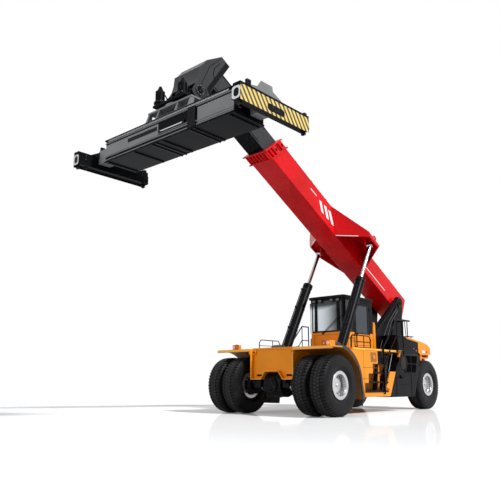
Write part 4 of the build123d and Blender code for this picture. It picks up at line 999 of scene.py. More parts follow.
@dataclass
class Sides(Assembly):
    """Deck edges, steps, ladder, tanks and mirrors."""

    side_y: float = 1.80
    tank_y: float = 1.74
    rail_y: float = 1.72
    deck_z: float = 1.85
    steps: tuple[Point, ...] = ((-1.66, 0.60), (-1.87, 0.86), (-2.12, 1.13), (-2.42, 1.41))
    step_back: float = -2.96

    def build(self) -> None:
        """Dress both sides of the body."""
        f, y = self.finish, self.side_y
        # Painted highlight: the deck's edge lips are the paler orange.
        self.pair("deck_lip_highlights", f.lip, 0.001).block((-3.99, y, 1.795), (-1.08, y + 0.006, 1.846))
        seams = self.pair("side_seams", f.seam).block((-1.62, y, 0.49), (-1.632, y + 0.003, 1.78))
        for x, z in ((-2.38, 1.29), (-1.85, 0.98)):
            seams.block((-1.55, y, z), (x, y + 0.003, z + 0.012))
        # Painted shade: the recesses are the darker orange.
        recess = self.pair("side_recesses", f.shaded_orange, 0.002)
        recess.block((-1.55, y, 0.50), (-1.30, y + 0.006, 0.60))
        recess.prism(rounded_box((-2.34, 1.46), (-2.02, 1.74), 0.03), Y, y, y + 0.008)
        self.pair("side_knobs", f.orange, 0.003).disc((-2.18, y + 0.008, 1.60), Y, 0.06, 0.02, 20, 0.05)
        boxes = self.pair("step_boxes", f.black, 0.008).block((-2.46, 1.62, 1.46), (-2.93, 1.795, 1.66))
        boxes.block((-2.5, 1.5, 1.66), (-2.9, 1.78, 1.785))
        treads = self.pair("step_grip", f.rubber)
        for x, z in self.steps:
            treads.row((x - 0.03, 1.49, z + 0.044), (x - 0.022, 1.80, z + 0.051),
                       int((x - self.step_back - 0.06) / 0.03), (-0.03, 0, 0))
        self.pair("step_struts", f.orange, 0.01).prism(
            [(-3.47, 1.20), (-3.14, 1.20), (-2.70, 0.47), (-3.08, 0.47)], Y, 1.742, 1.802)
        rails = self.pair("ladder_rails", f.black)
        for a, b in (((-2.70, 0.75), (-2.96, 0.66)), ((-2.70, 1.30), (-3.15, 1.79)),
                     ((-3.58, 1.82), (-3.96, 1.82))):
            rails.tube([(a[0], 1.845, a[1]), (b[0], 1.835, b[1])], 0.013)
        for x in (-2.70, -3.58, -3.96):
            rails.disc((x, y + 0.001, 1.82), Y, 0.04, 0.008, 16, 0.035)
        rails.prism([(-3.02, 1.72), (-2.93, 1.72), (-2.58, 0.62), (-2.80, 0.62)], Y, 1.47, 1.50)
        rails.prism([(-3.05, 1.74), (-2.97, 1.74), (-2.54, 0.64), (-2.72, 0.64)], Y, 1.80, 1.822)
        self.pair("gas_springs", f.steel).bent(1.76, [(-3.10, 1.20), (-3.36, 1.74)], 0.009, 8)
        bolts = self.pair("deck_bolts", f.steel)
        for x in (-1.2, -1.8, -2.6, -3.4):
            bolts.disc((x, y + 0.006, 1.82), Y, 0.014, 0.01, 6, 0.012)
        self.deck()
        self.tanks()
        self.mirrors()

    def deck(self) -> None:
        """Grip mats, hatches and rail feet on the deck."""
        f, y, z = self.finish, self.rail_y, self.deck_z
        mats, ribs = self.pair("deck_mats", f.rubber), self.pair("deck_mat_ribs", f.rubber)
        for x0, x1, y0, y1 in ((-2.2, -3.0, 0.82, 1.70), (-3.1, -3.9, 0.82, 1.70), (-1.15, -1.3, 0.85, 1.7)):
            mats.block((x0, y0, z), (x1, y1, z + 0.004))
            ribs.row((x0 - 0.01, y0 + 0.02, z + 0.003), (x0 - 0.018, y1 - 0.02, z + 0.008),
                     int(abs(x1 - x0) / 0.03) - 1, (-0.03, 0, 0))
        feet = self.pair("rail_feet", f.black)
        feet.bent(0.76, [(-2.62, z), (-2.62, 2.24), (-2.69, 2.32), (-2.98, 2.33), (-2.98, z)], 0.016)
        feet.bent(y, [(-1.14, z), (-1.14, 2.12), (-1.22, 2.21), (-2.09, 2.21), (-2.17, 2.12), (-2.17, z)],
                  0.015)
        feet.bent(y, [(-1.14, 2.03), (-2.17, 2.03)], 0.010).bent(y, [(-1.80, z), (-1.80, 2.21)], 0.013)
        for x in (-2.62, -2.98):
            feet.disc((x, 0.76, z), Z, 0.035, 0.012, 16, 0.03)
        hatch = self.start("deck_hatches", f.orange, 0.003)
        for low, high in (((-1.15, -0.62), (-0.1, 0.62)), ((-2.15, -0.55), (-1.35, 0.55))):
            hatch.prism(rounded_box(low, high, 0.05), Z, z, z + 0.012)
        knobs, low, high = self.start("hatch_handles", f.black), z + 0.012, z + 0.04
        for x, y in ((-0.3, 0.45), (-0.95, 0.45), (-1.5, 0.4), (-2.0, 0.4), (-0.3, -0.45), (-0.95, -0.45)):
            knobs.tube([(x, y - 0.05, low), (x, y - 0.05, high), (x, y + 0.05, high), (x, y + 0.05, low)],
                       0.007, 8)

    def tanks(self) -> None:
        """Grilles, straps and caps of the side tanks."""
        f, y = self.finish, self.tank_y
        slats = self.pair("tank_slats", f.shade)
        slats.row((-4.26, y, 1.20), (-4.86, y + 0.012, 1.212), 16, (-0.008, 0, 0.032))
        self.pair("tank_frames", f.black, 0.003).ring_plate(
            [(-4.20, 1.16), (-4.90, 1.16), (-5.06, 1.735), (-4.22, 1.735)],
            [(-4.24, 1.19), (-4.87, 1.19), (-5.01, 1.71), (-4.26, 1.71)], Y, y, y + 0.014)
        # Painted shade: a near-black sheet fills the grille behind its slats.
        back = self.pair("tank_back_shade", f.shade)
        back.prism([(-4.23, 1.18), (-4.88, 1.18), (-5.02, 1.72), (-4.25, 1.72)], Y, y, y + 0.004)
        bars = self.pair("tank_bars", f.black, 0.002)
        bars.prism([(-4.535, 1.18), (-4.565, 1.18), (-4.60, 1.72), (-4.57, 1.72)], Y, y, y + 0.018)
        bars.prism([(-4.235, 1.445), (-4.95, 1.445), (-4.955, 1.472), (-4.235, 1.472)], Y, y, y + 0.017)
        straps = self.pair("tank_straps", f.dark, 0.002).block((-3.2, y, 0.80), (-4.9, y + 0.004, 0.812))
        for x, top in ((-3.55, 1.2), (-4.55, 1.14)):
            straps.block((x, y, 0.445), (x - 0.05, y + 0.006, top))
        caps = self.pair("tank_caps", f.black, 0.002).disc((-3.9, y, 1.05), Y, 0.055, 0.035, 24, 0.05)
        caps.bent(y + 0.035, [(-3.95, 1.05), (-3.85, 1.05)], 0.008, 8)

    def mirrors(self) -> None:
        """Glass, rims and clamps of the mirrors."""
        f = self.finish
        outer, inner = ([(1.89 + 0.11 * a * math.cos(t), 1.47 + 0.225 * b * math.sin(t)) for t in turns(40)]
                        for a, b in ((1, 1), (0.88, 0.93)))
        self.pair("mirror_rims", f.black, 0.002).ring_plate(outer, inner, X, -3.822, -3.812)
        # Painted light: the mirror pane is pale grey, lighter than its shade would leave it.
        self.pair("mirror_glass", f.pale).prism(inner, X, -3.8225, -3.816)
        self.pair("mirror_clamps", f.orange, 0.004).prism(
            [(-3.84, 1.79), (-3.78, 1.79), (-3.70, 1.66), (-3.76, 1.64)], Y, 1.74, 1.80)
        stalk = self.pair("mirror_stalks", f.black).prism(inner, X, -3.8622, -3.858)
        stalk.tube([(-3.84, 1.89, 1.26), (-3.84, 1.885, 1.05), (-3.86, 1.78, 1.02)], 0.010, 8)


@dataclass
class RearEnd(Assembly):
    """Vents, lamps and louvres of the hood, and the counterweight's fittings."""

    rear_x: float = -7.15
    hood_y: float = 1.198

    def build(self) -> None:
        """Dress the rear of the machine."""
        f, y = self.finish, self.hood_y
        self.pair("hood_vents", f.rust).row((-5.55, 0.72, 2.366), (-5.585, 1.08, 2.380), 14,
                                            (-0.06, 0, -0.00672))
        self.pair("hood_louvres", f.black).row((-5.02, y, 1.86), (-5.62, y + 0.008, 1.873), 13, (0, 0, 0.033))
        seams = self.pair("hood_seams", f.rubber).block((-4.93, y, 1.80), (-6.16, y + 0.003, 1.808))
        for x in (-4.93, -5.72, -6.16):
            seams.block((x, y, 1.76), (x - 0.008, y + 0.003, 2.27))
        self.pair("hood_handles", f.plastic, 0.006).block((-5.83, y, 1.98), (-5.93, y + 0.02, 2.03))
        for name, finish, x0, x1, y0 in (("reversing_lamps", f.lamp, -6.74, -6.50, 0.80),
                                         ("tail_lamps", f.tail, -6.92, -6.78, 0.98)):
            lamps = self.pair(name, finish, 0.003)
            lamps.prism(rounded_box((x0, 1.885), (x1, 1.975), 0.03), Y, 1.21, 1.216)
            lamps.prism(rounded_box((y0, 1.735), (y0 + 0.15, 1.80), 0.02), X, -7.118, -7.10)
        brackets = self.pair("lamp_brackets", f.orange, 0.006).block((-7.10, 0.78, 1.72),
                                                                     (-7.04, 1.15, 1.835))
        brackets.prism([(-6.40, 1.80), (-6.52, 1.80), (-6.46, 1.58), (-6.38, 1.62)], Y, 1.12, 1.19)
        self.pair("side_reflectors", f.amber).disc((-6.08, y, 1.95), Y, 0.024, 0.008, 20, 0.02)
        self.weight()

    def weight(self) -> None:
        """Seams, lifting eyes, towing plate and reflectors of the counterweight."""
        f, x = self.finish, self.rear_x
        self.pair("lifting_eyes", f.orange).collar((-6.75, 0.6, 1.75), Y, (0.03, 0.06), -0.02, 0.02)
        seams = self.start("weight_seams", f.rubber)
        for z in (1.0, 1.4):
            seams.block((x + 0.005, -0.99, z), (x + 0.002, 0.99, z + 0.012))
        tow = self.start("towing_plate", f.black).block((x + 0.004, -0.16, 0.82), (x + 0.0005, 0.16, 1.0))
        tow.block((-7.06, -0.12, 1.70), (-7.10, 0.12, 1.735))
        self.pair("rear_reflectors", f.tail).block((x + 0.005, 0.55, 0.80), (x + 0.0005, 0.95, 0.90))


@dataclass
class Cab(Assembly):
    """Seals, panels, lamps and wiper of the cab, and what shows inside it."""

    front_x: float = -2.45
    back_x: float = -4.20
    sill_z: float = 2.48
    head_z: float = 3.45
    skin_y: float = 0.66
    seal_r: float = 0.011

    def build(self) -> None:
        """Dress the cab."""
        f, lo, hi, y = self.finish, self.sill_z, self.head_z, self.skin_y
        seals = self.start("window_seals", f.rubber)
        for x in (self.front_x - 0.012, self.back_x + 0.012):
            seals.tube([(x, -0.56, lo), (x, 0.56, lo), (x, 0.56, hi), (x, -0.56, hi), (x, -0.56, lo)],
                       self.seal_r, 8)
        for side_y, x in ((-0.648, -4.10), (0.648, -2.92)):
            seals.bent(side_y, [(x, lo), (-2.55, lo), (-2.55, hi), (x, hi), (x, lo)], self.seal_r, 8)
        door = self.start("door_seal", f.rubber, body=Body.DOOR)
        door.bent(0.655, [(-3.86, 2.43), (-3.12, 2.43), (-3.12, 3.32), (-3.86, 3.32), (-3.86, 2.43)],
                  self.seal_r, 8)
        skin = self.start("door_skin", f.orange, 0.004, body=Body.DOOR)
        skin.prism(rounded_box((-3.945, 1.985), (-3.035, 2.395), 0.07), Y, y, y + 0.009)
        crease = self.start("door_creases", f.seam, body=Body.DOOR)
        crease.ring_plate(rounded_box((-3.90, 2.03), (-3.08, 2.35), 0.06),
                          rounded_box((-3.885, 2.045), (-3.095, 2.335), 0.05), Y, y + 0.008, y + 0.0105)
        crease.block((-3.89, y + 0.008, 2.13), (-3.09, y + 0.0105, 2.14))
        handle = self.start("door_handle", f.black, 0.002, body=Body.DOOR)
        handle.block((-3.20, 0.669, 2.36), (-3.08, 0.674, 2.42))
        handle.tube([(-3.19, 0.672, 2.39), (-3.17, 0.70, 2.39), (-3.10, 0.70, 2.39), (-3.09, 0.672, 2.39)],
                    0.009, 8)
        self.panels()
        self.roof()
        self.inside()

    def panels(self) -> None:
        """Panel creases, rear posts, corner glass, wiper and marker lamps."""
        f, x, y = self.finish, self.front_x, self.skin_y
        self.start("corner_glass", f.glass, 0.004).block((x - 0.002, -0.655, 2.43), (x + 0.010, -0.575, 3.40))
        self.pair("cab_posts", f.orange, 0.025).prism(
            [(-4.19, 1.93), (-4.34, 1.93), (-4.34, 2.74), (-4.30, 2.84), (-4.24, 2.84), (-4.19, 2.62)], Y,
            0.572, 0.655)
        marker = rounded_box((-2.80, 2.02), (-2.70, 2.10), 0.02)
        self.pair("cab_markers", f.amber, 0.002).prism(marker, Y, y, y + 0.008)
        lines, wiper = self.start("cab_creases", f.seam), self.start("wiper", f.black)
        for side in BOTH:
            for seam_x in (-2.62, -3.0):
                lines.block((seam_x, side * y, 1.96), (seam_x - 0.012, side * (y + 0.003), 2.42))
            wiper.prism([(side * 0.49, 2.47), (side * 0.37, 2.47), (side * 0.37, 3.46), (side * 0.47, 3.46)],
                        X, x - 0.018, x - 0.004)
        lines.ring_plate(rounded_box((-0.50, 2.02), (0.50, 2.36), 0.06),
                         rounded_box((-0.49, 2.03), (0.49, 2.35), 0.05), X, x, x + 0.003)
        for low_y, high_y in ((-0.19, 0.50), (-0.13, 0.56)):
            wiper.tube([(x + 0.012, low_y, 2.40), (x + 0.02, high_y, 2.94)], 0.009, 8)
        wiper.block((x + 0.004, 0.44, 2.72), (x + 0.014, 0.46, 3.2))
        wiper.disc((x, -0.16, 2.40), X, 0.034, 0.02, 16, 0.03)
        wiper.block((x - 0.32, -0.40, 2.82), (x - 0.30, 0.36, 2.85))

    def roof(self) -> None:
        """Work lamps and hatch of the roof."""
        f = self.finish
        boxes = self.pair("work_lamps", f.black, 0.008)
        lenses = self.pair("work_lamp_lenses", f.plastic, 0.002)
        for y in (0.22, 0.46):
            boxes.block((-2.44, y - 0.07, 3.395), (-2.395, y + 0.07, 3.495))
            lenses.prism(rounded_box((y - 0.058, 3.407), (y + 0.058, 3.483), 0.02), X, -2.396, -2.391)
        hatch = self.start("roof_hatch", f.black, 0.003)
        hatch.prism(rounded_box((-3.9, -0.42), (-2.9, 0.42), 0.08), Z, 3.599, 3.606)
        for y in (-0.3, -0.1, 0.1, 0.3):
            hatch.block((-3.8, y, 3.605), (-3.0, y + 0.02, 3.612))

    def inside(self) -> None:
        """Seat cushions, armrests, dashboard, screen and pedals."""
        f = self.finish
        cloth = self.start("seat_cushions", f.cloth, 0.02).block((-3.72, -0.235, 2.45), (-3.255, 0.235, 2.49))
        cloth.block((-3.695, -0.225, 2.55), (-3.665, 0.225, 3.0))
        cloth.block((-3.79, -0.13, 3.05), (-3.69, 0.13, 3.22))
        arms = self.pair("armrests", f.plastic, 0.012).block((-3.66, 0.27, 2.66), (-3.30, 0.34, 2.71))
        arms.block((-3.70, 0.28, 2.40), (-3.62, 0.32, 2.68))
        arms.bent(0.305, [(-3.34, 2.71), (-3.33, 2.82)], 0.016, 10)
        dash = self.start("dashboard", f.plastic, 0.006).block((-2.70, -0.16, 2.52), (-2.60, 0.16, 2.62))
        dash.block((-2.74, 0.30, 2.58), (-2.70, 0.52, 2.82))
        dash.bent(0.41, [(-2.72, 2.0), (-2.72, 2.6)], 0.018, 10)
        for y in (-0.1, 0.1):
            dash.prism([(-2.86, 1.955), (-2.84, 1.955), (-2.92, 2.10), (-2.94, 2.10)], Y, y - 0.04, y + 0.04)
        self.start("screen", f.mirror).block((-2.742, 0.315, 2.60), (-2.7405, 0.505, 2.80))


@dataclass
class Mast(Assembly):
    """Ribs, hoses, lamp bars and pivot caps of the boom's mast."""

    outer: float = 0.56

    def build(self) -> None:
        """Dress the mast."""
        f, y = self.finish, self.outer
        ribs = self.pair("mast_ribs", f.black, 0.005).block((-4.40, y, 1.77), (-6.36, y + 0.03, 1.80))
        for depth, *outline in ((0.035, (-4.36, 1.78), (-4.44, 2.50), (-4.49, 2.50), (-4.42, 1.78)),
                                (0.035, (-4.46, 2.56), (-6.10, 3.78), (-6.13, 3.74), (-4.50, 2.51)),
                                (0.03, (-5.30, 1.78), (-5.96, 3.58), (-6.01, 3.58), (-5.36, 1.78)),
                                (0.03, (-6.33, 1.78), (-6.37, 3.10), (-6.42, 3.10), (-6.38, 1.78))):
            ribs.prism(outline, Y, y, y + depth)
        x, _, z = LUFF_PIN
        self.pair("pivot_caps", f.black, body=Body.BOOM).turned(
            [(0, 0.028), (0.06, 0.028), (0.075, 0.014), (0.12, 0.014), (0.125, 0), (0, 0)], (x, 0.6025, z), Y,
            40)
        self.pair("pivot_bolts", f.steel).bolts((x, 0.5905, z), 0.155, 12, Y, 0.011, 0.012)
        hoses = self.pair("mast_hoses", f.rubber)
        hoses.tube([(-4.62, 0.60, 1.86), (-4.78, 0.61, 2.2), (-5.35, 0.61, 2.95), (-5.95, 0.60, 3.45)], 0.016)
        hoses.tube([(-4.95, 0.60, 1.86), (-5.10, 0.61, 2.25), (-5.52, 0.61, 2.95), (-6.02, 0.60, 3.38)],
                   0.016)
        bars = self.pair("lamp_bars", f.black, 0.004).block((-5.41, 0.97, 2.96), (-6.07, 1.03, 3.01))
        bars.block((-5.9, 0.60, 2.965), (-5.96, 1.0, 3.005)).block((-5.80, 0.86, 2.43), (-6.20, 1.08, 2.45))
        bars.bent(0.985, [(-5.93, 2.97), (-5.93, 2.30)], 0.016)
        bars.bent(0.985, [(-5.75, 2.97), (-5.84, 2.30)], 0.012)
        bars.bent(1.0, [(-6.15, 2.44), (-6.15, 2.28)], 0.014)


@dataclass
class Boom(Assembly):
    """Stripes, collar pads, seams and wear strips of the boom."""

    low: float = -0.225
    high: float = 0.537
    half: float = 0.395
    front: float = 7.8
    collar: float = 0.38
    slant: float = math.tan(math.radians(22.0))

    def mouth(self, station: float, z: float) -> float:
        """Station of the slanted mouth at a height."""
        return station - (z - self.low) * self.slant

    def slab(self, start: float, end: float, low: float, high: float) -> list[Point]:
        """An outline between two slanted lines and two heights."""
        return [(self.mouth(x, z), z) for x, z in ((start, low), (end, low), (end, high), (start, high))]

    def on_boom(self, name: str, finish: Material, bevel: float = 0.0, body: str = Body.BOOM,
                sides: Sequence[int] = BOTH) -> Shape:
        """Start a piece whose sizes are along the boom."""
        return self.start(name, finish, bevel, body=body, at=BOOM, sides=sides)

    def build(self) -> None:
        """Dress the boom and its collar."""
        f, y = self.finish, self.half
        paint, pads = self.on_boom("boom_stripes", f.white), self.on_boom("collar_pads", f.red, 0.004)
        holes, ribs = self.on_boom("collar_holes", f.black), self.on_boom("collar_ribs", f.red, sides=(1,))
        for outline in ([(5.95, 0.30), (5.95, 0.27), (5.60, 0.27), (5.60, 0.30)],
                        [(5.43, 0.26), (5.31, 0.29), (5.02, 0.0), (5.16, 0.0)],
                        [(5.16, 0.29), (5.02, 0.32), (4.70, 0.02), (4.84, 0.0)],
                        [(4.89, 0.30), (4.75, 0.33), (4.40, 0.02), (4.54, 0.0)],
                        [(2.20, 0.0), (2.20, -0.03), (0.80, -0.03), (0.80, 0.0)]):
            paint.prism(outline, Y, y, y + 0.0025)
        a, b = self.front + 0.045, self.front + self.collar - 0.045
        for z in (0.02, 0.34):
            pads.prism(self.slab(a, b, z, z + 0.17), Y, y, y + 0.05)
            # Painted shade: black discs stand for the pads' holes.
            holes.disc((self.mouth((a + b) / 2, z + 0.085), y + 0.05, z + 0.085), Y, 0.045, 0.004)
        for z in (-0.15, 0.23):
            pads.prism(self.slab(a, b, z, z + 0.02), Y, y, y + 0.05)
        for k in range(7):
            rib = -0.36 + 0.12 * k
            for low, high in ((self.low - 0.073, self.low - 0.02), (self.high + 0.02, self.high + 0.048)):
                ribs.prism(self.slab(a - 0.02, b + 0.02, low, high), Y, rib - 0.012, rib + 0.012)
        self.wings()
        self.trim()

    def wings(self) -> None:
        """White front edges, partly paint and partly a painted highlight, outer plates and pressed lines of
        the lift brackets.
        """
        f = self.finish
        # White stripe on the wing's front edge, partly paint and partly a painted highlight.
        self.on_boom("wing_stripe_highlights", f.white).tube([(4.175, 0.40, -0.196), (3.72, 0.93, 0.04)], 0.014, 8)
        plates = self.on_boom("wing_plates", f.red, 0.002)
        plates.prism([(3.50, 0.245), (3.42, 0.165), (2.93, 0.165), (2.90, 0.245)], Y, 1.20, 1.203)
        plates.collar((3.2, 1.165, 0.30), Y, (0.05, 0.10), 0.0, 0.03, 28)
        lines = self.on_boom("wing_seams", f.red)
        for near, far in ((0.25, 0.75), (0.45, 0.95)):
            lines.tube([(x, 0.41 + 0.78 * t, 0.533 - 0.25 * t) for x, t in ((3.1, near), (3.15, far))], 0.008,
                       8)

    def trim(self) -> None:
        """Weld seams and hose clips of the outer boom; wear strips of the inner boom."""
        f, y, low, high = self.finish, self.half, self.low, self.high
        seams = self.on_boom("boom_seams", f.red, sides=(1,))
        for side in BOTH:
            for z in (low + 0.012, high - 0.018):
                seams.block((0.1, side * y, z), (7.85, side * (y + 0.005), z + 0.008))
        for x in (1.6, 4.9, 6.5):
            seams.block((x, -y, low - 0.004), (x + 0.01, y, low))
        self.on_boom("hose_clips", f.black).row((0.6, 0.30, high), (0.64, 0.38, high + 0.03), 8, (0.9, 0, 0))
        self.on_boom("boom_hoses", f.rubber).bent(0.34, [(0.3, high + 0.014), (7.4, high + 0.014)], 0.014)
        strips = self.on_boom("wear_strips", f.dark, body=Body.INNER)
        strips.block((8.45, 0.30, -0.13), (10.6, 0.304, -0.10)).block((8.45, 0.30, 0.42), (10.6, 0.304, 0.45))


@dataclass
class LiftCylinders(Assembly):
    """Pipes, clamps and bolted glands of the lift cylinders."""

    offset: float = 1.03
    length: float = 3.27

    def build(self) -> None:
        """Dress both cylinders."""
        f, top = self.finish, self.length
        for label, side in SIDES:
            foot = Matrix.Translation((LIFT_BASE[0], side * self.offset, LIFT_BASE[1]))
            here = {"body": f"lift_barrel_{label}", "at": foot @ Matrix.Rotation(LIFT_LEAN, 4, "Y"),
                    "sides": (side,)}
            pipe = self.start(f"lift_pipe_{label}", f.black, **here)
            pipe.disc((0.135, 0.055, 0.33), Z, 0.034, 0.05, 16, 0.03)
            pipe.tube([(0.13, 0.06, 0.36), (0.165, 0.07, 0.40), (0.165, 0.07, 2.95), (0.12, 0.06, 3.06)],
                      0.013)
            clamps = self.start(f"lift_clamps_{label}", f.black, **here)
            for z in (0.7, 1.5, 2.3, 3.02):
                clamps.collar((0, 0, z), Z, (0.150, 0.157), -0.02, 0.02, 36)
                clamps.block((0.14, 0.045, z - 0.02), (0.185, 0.095, z + 0.02))
            self.start(f"lift_gland_{label}", f.dark, **here).turned(
                [(0.070, 0), (0.135, 0), (0.135, 0.014), (0.078, 0.02), (0.070, 0.02)], (0, 0, top), Z, 40)
            bolts = self.start(f"lift_gland_bolts_{label}", f.steel, **here)
            bolts.bolts((0, 0, top + 0.014), 0.112, 12, Z, 0.010, 0.012)


@dataclass
class Head(Assembly):
    """Creases and bands in painted shade, covers and pin caps of the boom's head."""

    half: float = 0.50
    pin: Point = (3.75, 8.28)

    def build(self) -> None:
        """Dress the head and the hanger."""
        f, y = self.finish, self.half + 0.002
        # Painted shade: dark lines for the shade in the head's creases and round its pin boss.
        creases = self.pair("head_creases", f.dark, body=Body.INNER)
        creases.bent(y, [(3.02, 9.34), (3.22, 9.12), (3.27, 8.95), (3.20, 8.72)], 0.010, 8)
        creases.bent(y, [(2.98, 9.50), (3.40, 9.10), (3.66, 8.55), (3.72, 8.40)], 0.008, 8)
        creases.bent(y, arc(self.pin, 0.235, 150, 290, 12), 0.009, 8)
        creases.bent(y, arc(self.pin, 0.19, 160, 280, 12), 0.007, 8)
        # Painted shade: black bands along the rear lower edges of the head's plates.
        self.pair("head_shade_bands", f.black, 0.002, body=Body.INNER).prism(
            [(2.66, 9.39), (2.80, 9.45), (3.50, 8.43), (3.40, 8.27), (3.29, 8.26), (3.37, 8.39)], Y,
            self.half, self.half + 0.006)
        spot = (self.pin[0], 0.525, self.pin[1])
        self.pair("head_pin_caps", f.dark, body=Body.INNER).disc(spot, Y, 0.105, 0.02, 36, 0.09)
        self.pair("head_pin_bolts", f.steel, body=Body.INNER).bolts(spot, 0.125, 8, Y, 0.011, 0.012)
        roll = self.start("head_roll", f.dark, body=Body.INNER)
        roll.prism(arc((3.60, 8.98), 0.062, 0, 340, 17), Y, -0.49, 0.49)
        self.hanger()

    def hanger(self) -> None:
        """Motor ribs, bolts and hoses on the hanger, and the slewing ring's bolts."""
        f = self.finish
        bolts, fins, hoses = (self.start(name, finish, body=Body.HANGER) for name, finish in (
            ("motor_bolts", f.steel), ("motor_fins", f.black), ("motor_hoses", f.rubber)))
        for y, x in ((0.33, 4.2), (-0.47, 4.26)):
            bolts.bolts((x, y, 8.05), 0.140, 14, Z, 0.009, 0.012)
            fin = Shape().block((x + 0.10, y - 0.006, 8.10), (x + 0.124, y + 0.006, 8.36))
            fins.repeat(fin, Repeat.RING, 16, (0, 0, TURN / 16), (x, y, 8.2))
            hoses.tube([(x - 0.09, y, 8.30), (x - 0.17, y, 8.32), (x - 0.22, y * 0.8, 8.1),
                        (x - 0.25, y * 0.5, 7.975)],
                       0.016)
        boxes = self.start("valve_boxes", f.black, 0.01, body=Body.HANGER)
        boxes.block((4.08, -0.12, 7.96), (4.32, 0.10, 8.04))
        ring = self.start("slewing_bolts", f.steel, body=Body.ROTATOR)
        ring.bolts((4.05, 0.0, 7.785), 0.30, 28, Z, 0.011, 0.014, -1)


